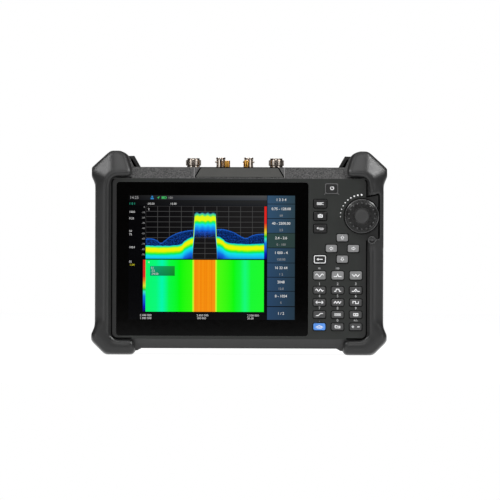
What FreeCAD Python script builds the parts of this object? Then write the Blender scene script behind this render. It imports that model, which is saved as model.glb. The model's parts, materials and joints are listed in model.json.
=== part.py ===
import FreeCAD, Part
import math
import os
from types import SimpleNamespace

import Sketcher
from FreeCAD import Placement, Rotation, Vector

# Handheld spectrum analyzer: a two part plastic case between two rubber corner bumpers, with a
# display, a keypad and a jog wheel on the front and RF connectors on the top.
# Millimetres. X is to the right, Y to the back and Z up. The origin is on the ground, in the
# middle of the width and of the depth.

SIZES = {
    # Case, seen from the front. Widths are measured from the middle plane. A size that ends in
    # _in or _out is measured inward or outward from the side of the case, and one that ends in
    # _below or _above is measured down or up from the top of the case.
    "case_half_width": 145.0,
    "case_front": 34.0,
    "case_back": 35.0,
    "case_top": 192.7,
    "case_wall": 3.2,
    "seam_forward": 8.0,
    "seal_thickness": 0.8,
    "seal_inset": 0.5,
    "seal_width": 2.4,
    "base_lift": 6.6,
    "foot_lift": 4.2,
    "foot_start_in": 45.0,
    "foot_slope": 4.5,
    "base_corner_in": 21.0,
    "base_corner_height": 24.0,
    "shoulder_in": 24.0,
    "shoulder_below": 14.7,
    "shoulder_above": 11.3,
    "front_wing_tip_in": 31.6,
    "front_wing_foot_in": 36.6,
    "front_wing_above": 10.3,
    "rear_wing_tip_in": 36.5,
    "rear_wing_foot_in": 43.0,
    "rear_wing_above": 11.6,
    "top_bevel": 11.8,
    "bottom_bevel": 9.8,
    "rear_bevel": 6.0,
    "side_bevel": 2.6,
    # Rubber bumpers, one at each side. The crest is where the sloping facets start in front.
    "bumper_fit": 0.2,
    "bumper_front_rise": 5.0,
    "bumper_back_rise": 4.0,
    "bumper_inner_in": 13.6,
    "bumper_above": 16.6,
    "bumper_top_outer_in": 14.0,
    "bumper_top_inner_in": 29.0,
    "bumper_end_in": 35.7,
    "bumper_end_below": 3.4,
    "bumper_lip_below": 10.4,
    "bumper_lip_round": 4.5,
    "bumper_front_chamfer": 3.8,
    "bumper_inner_round": 6.5,
    "bumper_elbow_out": 6.6,
    "bumper_elbow_top_below": 2.2,
    "bumper_elbow_base_below": 6.7,
    "bumper_arm_out": 3.0,
    "bumper_arm_below": 17.9,
    "bumper_arm_base": 28.5,
    "bumper_heel_top": 22.0,
    "bumper_heel_base": 17.6,
    "bumper_heel_out": 5.0,
    "bumper_heel_height": 13.4,
    "bumper_sole_in": 8.5,
    "bumper_toe_in": 38.8,
    "bumper_toe_top": 16.2,
    "bumper_toe_round": 6.5,
    "bumper_toe_foot_round": 4.5,
    "bumper_inner_chamfer": 5.3,
    "crest_arm_in": 7.5,
    "crest_arm_below": 20.2,
    "crest_arm_base": 34.0,
    "crest_elbow_in": 8.3,
    "crest_elbow_below": 12.1,
    "crest_corner_in": 16.6,
    "crest_below": 6.5,
    "crest_sole_inset": 1.6,
    "facet_depth": 14.0,
    "arm_facet_reach": 21.0,
    "rear_chamfer_depth": 6.0,
    "rear_chamfer_inset": 4.0,
    "rear_sole_inset": 1.2,
    # Pocket beside the jog wheel in the right bumper, with a finger scoop in its lower edge.
    "wheel_pocket_gap": 0.7,
    "wheel_pocket_under": 5.6,
    "wheel_pocket_over": 2.7,
    "wheel_pocket_slope": 2.9,
    "scoop_width": 7.0,
    "scoop_height": 8.6,
    "scoop_in": 9.0,
    "scoop_drop": 1.4,
    # Touch glass and display. The display is an 8.4 inch panel, 4 to 3.
    "glass_left": 125.8,
    "glass_right": 70.7,
    "glass_base": 19.7,
    "glass_top": 176.9,
    "glass_corner": 3.0,
    "glass_thickness": 1.8,
    "glass_fit": 0.15,
    "display_center": -27.9,
    "display_lift": 99.8,
    "panel_width": 174.0,
    "panel_height": 131.0,
    "panel_thickness": 7.0,
    "panel_fit": 1.0,
    "frame_left": 126.0,
    "frame_right": 70.0,
    "frame_base": 19.5,
    "frame_top": 177.0,
    "frame_thickness": 1.5,
    "frame_window_width": 150.0,
    "frame_window_height": 106.0,
    "frame_boss_radius": 3.0,
    "frame_boss_inset_x": 4.5,
    "frame_boss_inset_z": 5.0,
    # Keys. The travel is the way a key can be pressed.
    "key_travel": 1.0,
    "key_rise": 1.6,
    "key_fit": 0.2,
    "key_corner": 1.1,
    "key_chamfer": 0.35,
    "key_flange": 1.0,
    "key_flange_thickness": 1.0,
    "key_flange_gap": 0.15,
    "key_stem": 4.0,
    "key_stem_length": 1.5,
    "key_dome_gap": 0.25,
    "dome_width": 5.0,
    "dome_height": 1.1,
    "dome_sheet_thickness": 0.5,
    "keypad_board_thickness": 1.6,
    "keypad_board_left": 73.0,
    "keypad_board_past_wheel": 7.0,
    "keypad_board_base": 18.0,
    "keypad_board_top": 178.0,
    "keypad_boss_radius": 1.9,
    "keypad_boss_margin": 1.0,
    "keypad_boss_drop": 9.0,
    "keypad_boss_side": 6.0,
    "dome_sheet_margin": 1.0,
    "dome_sheet_foot": 7.0,
    "dome_sheet_gap": 0.5,
    "number_key_width": 12.3,
    "number_key_height": 7.0,
    "number_key_x": 82.4,
    "number_key_z": 29.3,
    "number_pitch_x": 18.6,
    "number_pitch_z": 12.5,
    "grey_key_height": 8.4,
    "grey_key_z": 82.0,
    "menu_key_width": 13.0,
    "menu_key_height": 8.3,
    "menu_key_x": 82.9,
    "menu_key_z": 130.0,
    "menu_pitch_z": 12.75,
    "arrow_key_width": 11.3,
    "arrow_key_height": 7.3,
    "arrow_center_x": 105.7,
    "arrow_center_z": 109.6,
    "arrow_reach_x": 11.25,
    "arrow_reach_z": 11.0,
    "escape_key_width": 12.5,
    "escape_key_height": 8.6,
    "escape_key_x": 82.7,
    "escape_key_z": 98.4,
    "power_key_width": 11.4,
    "power_key_height": 8.8,
    "power_key_x": 94.5,
    "power_key_z": 171.0,
    "power_bezel_wall": 0.8,
    "power_bezel_rise": 0.9,
    "power_bezel_depth": 1.2,
    # Jog wheel with the enter button in its centre, and the encoder behind it.
    "wheel_in": 19.5,
    "wheel_z": 142.7,
    "wheel_radius": 17.5,
    "wheel_rise": 4.6,
    "wheel_floor_gap": 0.4,
    "wheel_well_gap": 1.1,
    "wheel_well_depth": 1.2,
    "wheel_hub_radius": 9.5,
    "wheel_hub_fit": 0.05,
    "wheel_bore_radius": 7.5,
    "wheel_lip": 2.0,
    "wheel_lip_depth": 0.7,
    "wheel_nub_radius": 0.75,
    "wheel_nub_ring": 13.4,
    "wheel_nub_height": 0.35,
    "wheel_nub_step": 20.0,
    "snap_groove_radius": 8.9,
    "snap_ring_radius": 11.5,
    "snap_ring_thickness": 1.2,
    "snap_ring_gap": 0.1,
    "button_fit": 0.12,
    "button_rise": 4.4,
    "button_crown": 0.5,
    "button_crown_radius": 4.6,
    "button_cap_depth": 3.4,
    "button_travel": 0.8,
    "button_stem_radius": 2.5,
    "button_stem_reach": 1.0,
    "button_stem_gap": 0.5,
    "encoder_side": 14.0,
    "encoder_bushing_radius": 5.0,
    "encoder_bore_fit": 0.05,
    "encoder_gap": 0.3,
    "encoder_margin": 1.0,
    "bushing_inset": 0.5,
    # Circuit boards, shield and heat sink behind the display.
    "main_board_gap": 9.6,
    "main_board_thickness": 1.6,
    "main_board_left": 122.0,
    "main_board_right": 68.0,
    "main_board_base": 22.0,
    "main_board_top": 168.0,
    "standoff_radius": 2.5,
    "standoff_inset": 6.0,
    "shield_left": 48.0,
    "shield_right": 60.0,
    "shield_base": 64.0,
    "shield_top": 152.0,
    "shield_depth": 8.0,
    "sink_base_thickness": 3.0,
    "sink_fin_inset": 2.0,
    "sink_fin_thickness": 1.6,
    "sink_fin_pitch": 8.0,
    "sink_fin_count": 13.0,
    "sink_fin_depth": 22.0,
    # Battery and its bay in the rear case.
    "battery_left": 122.0,
    "battery_right": 64.0,
    "battery_base": 27.0,
    "battery_top": 165.0,
    "battery_depth": 22.0,
    "battery_fit": 0.3,
    "battery_corner": 4.0,
    "bay_wall": 1.6,
    "cover_margin": 3.0,
    "cover_thickness": 2.0,
    "cover_fit": 0.2,
    "cover_screw_radius": 2.5,
    "cover_screw_inset": 2.5,
    "cover_sink_floor": 0.6,
    "cover_tab": 6.0,
    # Kickstand, hinged at its upper edge in a recess of the rear case.
    "stand_half_width": 50.0,
    "stand_fit": 0.3,
    "stand_hinge_height": 125.0,
    "stand_hinge_depth": 2.2,
    "stand_barrel_radius": 2.1,
    "stand_base": 30.0,
    "stand_thickness": 3.6,
    "stand_recess": 4.5,
    "stand_block": 7.5,
    "stand_border": 8.0,
    "stand_block_margin": 4.0,
    "stand_window_border": 14.0,
    "stand_window_lift": 19.6,
    "stand_foot_height": 5.0,
    "stand_foot_half_width": 34.0,
    "stand_corner": 6.0,
    "stand_pin_radius": 1.25,
    "stand_pin_fit": 0.05,
    "stand_pin_grip": 6.0,
    "stand_pin_end_gap": 0.3,
    "notch_half_width": 12.0,
    "notch_height": 8.0,
    # Rear vents.
    "vent_width": 2.4,
    "vent_base": 142.0,
    "vent_top": 168.0,
    "vent_pitch": 7.0,
    "vent_count": 14.0,
    "vent_start": -40.0,
    # Case screws.
    "case_screw_in": 8.0,
    "case_screw_low": 30.0,
    "case_screw_below": 22.7,
    "column_radius": 4.0,
    "screw_radius": 1.5,
    "screw_fit": 0.05,
    "screw_head_radius": 2.8,
    "screw_head_height": 2.0,
    "screw_head_depth": 5.0,
    "screw_bite": 10.0,
    "screw_end_gap": 0.5,
    # Connector tray in the top wall.
    "tray_left": 69.0,
    "tray_right": 59.0,
    "tray_front": -5.9,
    "tray_back": 28.6,
    "tray_flange_thickness": 1.5,
    "tray_flange_side": 3.5,
    "tray_flange_end": 1.0,
    "tray_wall": 1.5,
    "tray_depth": 8.0,
    "tray_floor_thickness": 2.0,
    "tray_corner": 3.0,
    "tray_fit": 0.15,
    # Nameplate on the top bevel, left blank.
    "plate_top_half_width": 39.0,
    "plate_base_half_width": 44.9,
    "plate_height": 13.2,
    "plate_thickness": 0.5,
    # RF connectors. Each stands in the tray and is held by a nut below the tray floor.
    "large_left_x": -47.6,
    "large_right_x": 37.9,
    "large_y": 13.0,
    "large_thread_radius": 7.94,
    "large_neck_radius": 6.6,
    "large_flange_radius": 9.2,
    "large_flange_height": 2.4,
    "large_neck_height": 5.4,
    "large_height": 17.6,
    "large_bore_radius": 4.1,
    "large_bore_depth": 9.0,
    "large_tail_radius": 4.8,
    "bayonet_left_x": -19.4,
    "bayonet_right_x": 9.4,
    "bayonet_y": 13.0,
    "bayonet_radius": 4.85,
    "bayonet_tip_length": 3.4,
    "bayonet_shank_radius": 4.55,
    "bayonet_flange_radius": 7.0,
    "bayonet_flange_height": 3.0,
    "bayonet_height": 18.4,
    "bayonet_bore_radius": 4.05,
    "bayonet_bore_depth": 9.0,
    "bayonet_lug_radius": 1.0,
    "bayonet_lug_reach": 5.9,
    "bayonet_lug_drop": 4.6,
    "bayonet_tail_radius": 4.0,
    "small_left_x": -12.9,
    "small_right_x": 7.1,
    "small_y": 1.9,
    "small_radius": 3.175,
    "small_flange_radius": 4.2,
    "small_flange_height": 2.5,
    "small_height": 15.0,
    "small_bore_radius": 2.3,
    "small_bore_depth": 2.2,
    "small_tail_radius": 2.6,
    "tail_length": 10.0,
    "contact_radius_large": 1.5,
    "contact_radius_bayonet": 1.0,
    "contact_radius_small": 0.6,
    "contact_recess": 1.0,
    "insulator_height": 0.8,
    "nut_margin": 2.6,
    "nut_height": 2.4,
    "connector_fit": 0.05,
}


class Size:
    """A length with its value and the expression that gives it in the document."""

    def __init__(self, value, text):
        self.value = value
        self.text = text

    def __add__(self, other):
        other = as_size(other)
        return Size(self.value + other.value, f"({self.text} + {other.text})")

    def __radd__(self, other):
        return as_size(other) + self

    def __sub__(self, other):
        other = as_size(other)
        return Size(self.value - other.value, f"({self.text} - {other.text})")

    def __rsub__(self, other):
        return as_size(other) - self

    def __mul__(self, other):
        other = as_size(other)
        return Size(self.value * other.value, f"{self.text} * {other.text}")

    def __rmul__(self, other):
        return as_size(other) * self

    def __truediv__(self, other):
        other = as_size(other)
        return Size(self.value / other.value, f"{self.text} / {other.text}")

    def __rtruediv__(self, other):
        return as_size(other) / self

    def __neg__(self):
        return Size(-self.value, f"(0 - {self.text})")


def as_size(item):
    return item if isinstance(item, Size) else Size(float(item), f"{float(item)}")


doc = FreeCAD.newDocument("spectrum_analyzer")
sheet = doc.addObject("Spreadsheet::Sheet", "Sizes")
for row, (alias, number) in enumerate(SIZES.items(), start=1):
    sheet.set(f"A{row}", alias)
    sheet.set(f"B{row}", str(number))
    sheet.setAlias(f"B{row}", alias)
doc.recompute()
dim = SimpleNamespace(**{alias: Size(number, f"Sizes.{alias}") for alias, number in SIZES.items()})
none = as_size(0)

# Half a side of a regular octagon whose sides lie at a distance of 1 from its middle.
OCTAGON_HALF_SIDE = math.tan(math.pi / 8)
# Sides of the small round pieces that are made as prisms.
SCREW_HEAD_SIDES = 12
INSULATOR_SIDES = 12
HEXAGON = 6
OCTAGON = 8
# How far a cutting outline reaches past the faces that it cuts.
PAST = 1
# Two coordinates nearer than this are the same.
NEAR = 0.01

# The way a sketch on each origin plane faces along its world axis.
FACING = {"XZ_Plane": -1, "XY_Plane": 1, "YZ_Plane": 1}
parts = []


def keep(item):
    """Marks an object as a piece of the analyzer, to be written out under its label."""
    parts.append(item)
    return item


def new_body(name):
    body = doc.addObject("PartDesign::Body", name)
    body.Label = name
    return body


def bind(item, **properties):
    for name, size in properties.items():
        item.setExpression(name.replace("_at_", "."), as_size(size).text)


def new_sketch(body, name, plane, offset=none):
    """A sketch on an origin plane of the body, moved along the plane's world axis."""
    sketch = body.newObject("Sketcher::SketchObject", name)
    origin = [item for item in body.Origin.OriginFeatures if item.Role == plane][0]
    sketch.AttachmentSupport = [(origin, "")]
    sketch.MapMode = "FlatFace"
    sketch.setExpression("AttachmentOffset.Base.z", (as_size(offset) * FACING[plane]).text)
    return sketch


def tie(sketch, rules, ties):
    """Adds plain rules and dimensions to a sketch in one step. A tie ends in the size it follows."""
    first = sketch.ConstraintCount + len(rules)
    rules = [Sketcher.Constraint(*rule) for rule in rules]
    rules += [Sketcher.Constraint(*rule, size.value) for *rule, size in ties]
    sketch.addConstraint(rules)
    for index, (*rule, size) in enumerate(ties, start=first):
        sketch.setExpression(f"Constraints[{index}]", size.text)


def place_ties(geometry, point, place):
    """Ties a point of the sketch to two sizes, measured from the sketch's origin."""
    across, up = place
    return [
        ("DistanceX", -1, 1, geometry, point, as_size(across)),
        ("DistanceY", -1, 1, geometry, point, as_size(up)),
    ]


def draw_polygon(sketch, points):
    first = sketch.GeometryCount
    places = [Vector(as_size(x).value, as_size(y).value, 0) for x, y in points]
    count = len(places)
    edges = [Part.LineSegment(places[index], places[(index + 1) % count]) for index in range(count)]
    sketch.addGeometry(edges, False)
    joints = [
        ("Coincident", first + index, 2, first + (index + 1) % count, 1)
        for index in range(count)
    ]
    ties = []
    for index, place in enumerate(points):
        ties += place_ties(first + index, 1, place)
    tie(sketch, joints, ties)


def draw_box(sketch, left, right, base, top):
    draw_polygon(sketch, [(left, base), (right, base), (right, top), (left, top)])


def draw_cut_box(sketch, left, right, base, top, corner):
    """A box with its corners cut off at 45 degrees."""
    draw_polygon(sketch, [
        (left + corner, base),
        (right - corner, base),
        (right, base + corner),
        (right, top - corner),
        (right - corner, top),
        (left + corner, top),
        (left, top - corner),
        (left, base + corner),
    ])


def draw_circle(sketch, x, y, radius):
    x, y, radius = as_size(x), as_size(y), as_size(radius)
    index = sketch.addGeometry(Part.Circle(Vector(x.value, y.value, 0), Vector(0, 0, 1), radius.value))
    tie(sketch, [], place_ties(index, 3, (x, y)) + [("Radius", index, radius)])


def draw_octagon(sketch, x, y, radius):
    """An eight sided hole or boss, whose flat sides touch a circle of the given radius."""
    half = radius * OCTAGON_HALF_SIDE
    steps = [
        (half, -radius), (radius, -half), (radius, half), (half, radius),
        (-half, radius), (-radius, half), (-radius, -half), (-half, -radius),
    ]
    draw_polygon(sketch, [(x + across, y + up) for across, up in steps])


def draw_regular(sketch, sides, radius, x=none, y=none):
    """A regular polygon with its corners on a circle, the first of them straight to the right."""
    turns = [2 * math.pi * index / sides for index in range(sides)]
    draw_polygon(sketch, [(x + radius * math.cos(turn), y + radius * math.sin(turn)) for turn in turns])


def draw_rounded_box(sketch, left, right, base, top, corner):
    """Four sides joined by four tangent arcs of one radius."""
    left, right, base, top = as_size(left), as_size(right), as_size(base), as_size(top)
    corner = as_size(corner)
    first = sketch.GeometryCount
    x0, x1, y0, y1, r = left.value, right.value, base.value, top.value, corner.value
    sides = [
        ((x0 + r, y0), (x1 - r, y0)),
        ((x1, y0 + r), (x1, y1 - r)),
        ((x1 - r, y1), (x0 + r, y1)),
        ((x0, y1 - r), (x0, y0 + r)),
    ]
    centers = [(x1 - r, y0 + r), (x1 - r, y1 - r), (x0 + r, y1 - r), (x0 + r, y0 + r)]
    quarter = math.pi / 2
    for (start, end), center, turn in zip(sides, centers, (3, 0, 1, 2)):
        sketch.addGeometry(Part.LineSegment(Vector(*start, 0), Vector(*end, 0)), False)
        circle = Part.Circle(Vector(*center, 0), Vector(0, 0, 1), r)
        sketch.addGeometry(Part.ArcOfCircle(circle, turn * quarter, (turn + 1) * quarter), False)
    rules = []
    for index in range(4):
        side, arc, following = first + 2 * index, first + 2 * index + 1, first + (2 * index + 2) % 8
        rules.append(("Tangent", side, 2, arc, 1))
        rules.append(("Tangent", arc, 2, following, 1))
        rules.append(("Vertical" if index % 2 else "Horizontal", side))
        if index:
            rules.append(("Equal", first + 1, arc))
    tie(sketch, rules, [
        ("DistanceY", -1, 1, first, 1, base),
        ("DistanceX", -1, 1, first + 2, 1, right),
        ("DistanceY", -1, 1, first + 4, 1, top),
        ("DistanceX", -1, 1, first + 6, 1, left),
        ("Radius", first + 1, corner),
    ])


def pad(body, sketch, name, length, both=False):
    """Adds material from the sketch along its world axis, or half to each side."""
    feature = body.newObject("PartDesign::Pad", name)
    feature.Profile = sketch
    feature.Reversed = FACING[plane_of(sketch)] < 0
    feature.Midplane = both
    bind(feature, Length=length)
    doc.recompute()
    return feature


def cut(body, sketch, name, length, both=False):
    """Takes material from the sketch along its world axis, or half to each side."""
    before = body.Shape.Volume
    feature = body.newObject("PartDesign::Pocket", name)
    feature.Profile = sketch
    feature.Reversed = FACING[plane_of(sketch)] > 0
    feature.Midplane = both
    bind(feature, Length=length)
    doc.recompute()
    if body.Shape.Volume >= before:
        raise RuntimeError(f"{body.Name}: {name} removes nothing")
    return feature


def plane_of(sketch):
    return sketch.AttachmentSupport[0][0].Role


def pattern(body, feature, name, sketch, count, pitch, axis="H_Axis", reverse=False):
    """Repeats a feature along an axis of its sketch."""
    row = body.newObject("PartDesign::LinearPattern", name)
    row.Originals = [feature]
    row.Direction = (sketch, [axis])
    row.Reversed = reverse
    bind(row, Length=pitch * (count - 1), Occurrences=count)
    body.Tip = row
    doc.recompute()
    return row


def dress_edges(body, kind, name, size, wanted):
    """Fillets or chamfers the edges of the body's last feature that the test accepts."""
    tip = body.Tip
    names = [f"Edge{index}" for index, edge in enumerate(tip.Shape.Edges, start=1) if wanted(edge)]
    feature = body.newObject(f"PartDesign::{kind}", name)
    feature.Base = (tip, names)
    bind(feature, **{"Radius" if kind == "Fillet" else "Size": size})
    doc.recompute()
    return feature


def stands_at(edge, x, z):
    """True for an edge along Y at the given place."""
    box = edge.BoundBox
    ends = ((box.XMin, x), (box.XMax, x), (box.ZMin, z), (box.ZMax, z))
    return all(abs(found - as_size(asked).value) < NEAR for found, asked in ends)


def lies_in_plane(item, y):
    """True for an edge or a face in the plane at y."""
    box = item.BoundBox
    return abs(box.YMin - y.value) < NEAR and abs(box.YMax - y.value) < NEAR


def revolve(body, name, points, x, y):
    """Turns a profile of (radius, height) points about a vertical line at x, y."""
    sketch = new_sketch(body, f"{name}_profile", "XZ_Plane")
    draw_polygon(sketch, points)
    feature = body.newObject("PartDesign::Revolution", name)
    feature.Profile = sketch
    feature.ReferenceAxis = (sketch, ["V_Axis"])
    feature.Angle = 360.0
    bind(body, Placement_at_Base_at_x=x, Placement_at_Base_at_y=y)
    doc.recompute()
    return feature


def mirrored(points):
    """Completes an outline given for the right half with its left half."""
    return points + [(-as_size(x), z) for x, z in reversed(points)]


def outward(size):
    return dim.case_half_width + size


def inward(size):
    return dim.case_half_width - size


def above(size):
    return dim.case_top + size


def below(size):
    return dim.case_top - size


def case_outline(wing_tip, wing_top, wing_foot, grow=none):
    """Front view of the case, with the wings that rise beside the bumpers."""
    foot = inward(dim.foot_start_in)
    right = [
        (foot, dim.base_lift - grow),
        (foot + dim.foot_slope, dim.foot_lift - grow),
        (inward(dim.base_corner_in) + grow, dim.foot_lift - grow),
        (dim.case_half_width + grow, dim.base_corner_height - grow),
        (dim.case_half_width + grow, below(dim.shoulder_below) + grow),
        (inward(dim.shoulder_in) + grow, above(dim.shoulder_above) + grow),
        (wing_tip - grow, wing_top + grow),
        (wing_foot - grow, dim.case_top + grow),
    ]
    return mirrored(right)


def front_outline(grow=none):
    return case_outline(inward(dim.front_wing_tip_in), above(dim.front_wing_above),
                        inward(dim.front_wing_foot_in), grow)


def rear_outline(grow=none):
    return case_outline(inward(dim.rear_wing_tip_in), above(dim.rear_wing_above),
                        inward(dim.rear_wing_foot_in), grow)


# Width and height that reach past the whole case.
full_width = 2 * outward(dim.bumper_elbow_out)
full_height = above(dim.bumper_above)


def bevel_front(body, grow=none):
    """Cuts the 45 degree bevels along the top and the bottom of the front."""
    face = -dim.case_front - grow
    start = dim.case_top - dim.top_bevel + grow
    rise = full_height - start
    sketch = new_sketch(body, f"{body.Name}_top_bevel_section", "YZ_Plane")
    front = face - PAST
    draw_polygon(sketch, [(front, start - PAST), (face + rise, full_height), (front, full_height)])
    cut(body, sketch, f"{body.Name}_top_bevel", full_width, both=True)
    start = dim.base_lift + dim.bottom_bevel - grow
    sketch = new_sketch(body, f"{body.Name}_bottom_bevel_section", "YZ_Plane")
    draw_polygon(sketch, [(front, start + PAST), (face + start, none), (front, none)])
    cut(body, sketch, f"{body.Name}_bottom_bevel", full_width, both=True)


def bevel_sides(body, grow=none):
    """Takes the two upright front edges off, under the bumpers."""
    face = -dim.case_front - grow
    side = dim.case_half_width + grow
    sketch = new_sketch(body, f"{body.Name}_side_bevel_section", "XY_Plane")
    past = side + PAST
    corner = [(side - dim.side_bevel, face), (past, face + dim.side_bevel + PAST), (past, face)]
    draw_polygon(sketch, corner)
    draw_polygon(sketch, [(-x, y) for x, y in corner])
    cut(body, sketch, f"{body.Name}_side_bevel", full_height)


def bevel_back(body, grow=none):
    """Cuts the bevels along the top and the bottom of the back."""
    face = dim.case_back + grow
    bevel = dim.rear_bevel
    start = dim.case_top - bevel + grow
    rise = full_height - start
    sketch = new_sketch(body, f"{body.Name}_top_back_section", "YZ_Plane")
    behind = face + PAST
    draw_polygon(sketch, [(behind, start - PAST), (face - rise, full_height), (behind, full_height)])
    cut(body, sketch, f"{body.Name}_top_back_bevel", full_width, both=True)
    start = dim.base_lift + bevel - grow
    sketch = new_sketch(body, f"{body.Name}_bottom_back_section", "YZ_Plane")
    draw_polygon(sketch, [(behind, start + PAST), (face - start, none), (behind, none)])
    cut(body, sketch, f"{body.Name}_bottom_back_bevel", full_width, both=True)


def hollow(body, name, wall, open_y):
    """Shells the body to an even wall and leaves the face at open_y open."""
    tip = body.Tip
    names = []
    for index, face in enumerate(tip.Shape.Faces, start=1):
        if lies_in_plane(face, open_y):
            names.append(f"Face{index}")
    feature = body.newObject("PartDesign::Thickness", name)
    feature.Base = (tip, names)
    feature.Join = 1
    feature.Reversed = True
    bind(feature, Value=wall)
    doc.recompute()
    return feature


# Planes that several pieces share, as distances along Y.
front_face = -dim.case_front
front_inside = front_face + dim.case_wall
front_back = -dim.seam_forward - dim.seal_thickness / 2
rear_front = -dim.seam_forward + dim.seal_thickness / 2
rear_face = dim.case_back
rear_inside = rear_face - dim.case_wall
bumper_front = front_face - dim.bumper_front_rise
bumper_back = rear_face + dim.bumper_back_rise
tray_floor = dim.case_top - dim.tray_depth
glass_back = front_face + dim.glass_thickness
panel_back = glass_back + dim.panel_thickness
frame_back = panel_back + dim.frame_thickness
board_front = frame_back + dim.main_board_gap
board_back = board_front + dim.main_board_thickness
shield_back = board_back + dim.shield_depth

# Key levels along Y.
cap_front = front_face - dim.key_rise
flange_front = front_inside + dim.key_flange_gap
flange_back = flange_front + dim.key_flange_thickness
stem_back = flange_back + dim.key_stem_length
dome_front = stem_back + dim.key_travel + dim.key_dome_gap
dome_sheet_front = dome_front + dim.dome_height
keypad_board_front = dome_sheet_front + dim.dome_sheet_thickness
keypad_board_back = keypad_board_front + dim.keypad_board_thickness


class Key:
    """One key: its node name, the middle of its cap and the cap's width and height."""

    def __init__(self, name, x, z, width, height):
        self.name = name
        self.x = x
        self.z = z
        self.width = width
        self.height = height


class KeyGroup:
    """A block of equal keys that one opening, repeated along both axes, serves."""

    def __init__(self, name, x, z, width, height, names, pitch_x=none, pitch_z=none):
        self.name = name
        self.x = x
        self.z = z
        self.width = width
        self.height = height
        self.rows = names
        self.pitch_x = pitch_x
        self.pitch_z = pitch_z

    def keys(self):
        for row, names in enumerate(self.rows):
            for column, name in enumerate(names):
                x = self.x + self.pitch_x * column
                z = self.z + self.pitch_z * row
                yield Key(name, x, z, self.width, self.height)


NUMBER_ROWS = [
    ["key_blue_shift", "key_zero", "key_sign"],
    ["key_seven", "key_eight", "key_nine"],
    ["key_four", "key_five", "key_six"],
    ["key_one", "key_two", "key_three"],
]
ARROWS = [
    ("key_arrow_up", 0, 1),
    ("key_arrow_left", -1, 0),
    ("key_arrow_right", 1, 0),
    ("key_arrow_down", 0, -1),
]
groups = [
    KeyGroup("number", dim.number_key_x, dim.number_key_z, dim.number_key_width,
             dim.number_key_height, NUMBER_ROWS, dim.number_pitch_x, dim.number_pitch_z),
    KeyGroup("grey", dim.number_key_x, dim.grey_key_z, dim.number_key_width, dim.grey_key_height,
             [["key_grey_left", "key_grey_middle", "key_grey_right"]], dim.number_pitch_x),
    KeyGroup("menu", dim.menu_key_x, dim.menu_key_z, dim.menu_key_width, dim.menu_key_height,
             [["key_menu_lower"], ["key_menu_middle"], ["key_menu_upper"]], none, dim.menu_pitch_z),
    KeyGroup("escape", dim.escape_key_x, dim.escape_key_z, dim.escape_key_width,
             dim.escape_key_height, [["key_escape"]]),
    KeyGroup("power", dim.power_key_x, dim.power_key_z, dim.power_key_width,
             dim.power_key_height, [["key_power"]]),
]
for arrow, right, up in ARROWS:
    groups.append(KeyGroup(arrow, dim.arrow_center_x + dim.arrow_reach_x * right,
                           dim.arrow_center_z + dim.arrow_reach_z * up,
                           dim.arrow_key_width, dim.arrow_key_height, [[arrow]]))

# Middle of the jog wheel.
wheel_x = inward(dim.wheel_in)
wheel_z = dim.wheel_z
wheel_center = [(wheel_x, wheel_z)]
keypad_board_right = wheel_x + dim.keypad_board_past_wheel
screw_places = [
    (inward(dim.case_screw_in) * side, height)
    for side in (-1, 1)
    for height in (dim.case_screw_low, below(dim.case_screw_below))
]
frame_boss_places = [
    (-dim.frame_left + dim.frame_boss_inset_x, dim.frame_base + dim.frame_boss_inset_z),
    (dim.frame_right - dim.frame_boss_inset_x, dim.frame_base + dim.frame_boss_inset_z),
    (-dim.frame_left + dim.frame_boss_inset_x, dim.frame_top - dim.frame_boss_inset_z),
    (dim.frame_right - dim.frame_boss_inset_x, dim.frame_top - dim.frame_boss_inset_z),
]
boss_reach = dim.keypad_boss_radius + dim.keypad_boss_margin
boss_base = dim.keypad_board_base + boss_reach
boss_top = dim.keypad_board_top - dim.keypad_boss_drop
# The lower two stand between the columns of number keys.
keypad_boss_places = [
    (dim.number_key_x + dim.number_pitch_x / 2, boss_base),
    (dim.number_key_x + dim.number_pitch_x * 1.5, boss_base),
    (dim.keypad_board_left + boss_reach, boss_top),
    (keypad_board_right - dim.keypad_boss_radius - dim.keypad_boss_side, boss_top),
]


def posts(body, name, places, radius, start, length, draw=draw_octagon):
    """Bosses of one size that stand on the plane at start. Inner ones are eight sided."""
    sketch = new_sketch(body, f"{name}_outlines", "XZ_Plane", start)
    for x, z in places:
        draw(sketch, x, z, radius)
    return pad(body, sketch, name, length)


def holes(body, name, places, radius, start, length, draw=draw_octagon):
    sketch = new_sketch(body, f"{name}_outlines", "XZ_Plane", start)
    for x, z in places:
        draw(sketch, x, z, radius)
    return cut(body, sketch, name, length)


def box_sketch(body, name, plane, bounds, start, corner, draw_corners):
    sketch = new_sketch(body, f"{name}_outline", plane, start)
    if corner is None:
        draw_box(sketch, *bounds)
    else:
        draw_corners(sketch, *bounds, corner)
    return sketch


def box_cut(body, name, plane, bounds, start, length, corner=None, draw_corners=draw_rounded_box):
    sketch = box_sketch(body, name, plane, bounds, start, corner, draw_corners)
    return cut(body, sketch, name, length), sketch


def box_pad(body, name, plane, bounds, start, length, corner=None, draw_corners=draw_rounded_box):
    sketch = box_sketch(body, name, plane, bounds, start, corner, draw_corners)
    return pad(body, sketch, name, length), sketch


def around(x, z, width, height, grow=none):
    """Left, right, base and top of a box about a middle point."""
    return (x - width / 2 - grow, x + width / 2 + grow, z - height / 2 - grow, z + height / 2 + grow)


glass_box = (-dim.glass_left, dim.glass_right, dim.glass_base, dim.glass_top)
glass_seat = (-dim.glass_left - dim.glass_fit, dim.glass_right + dim.glass_fit,
              dim.glass_base - dim.glass_fit, dim.glass_top + dim.glass_fit)


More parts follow.
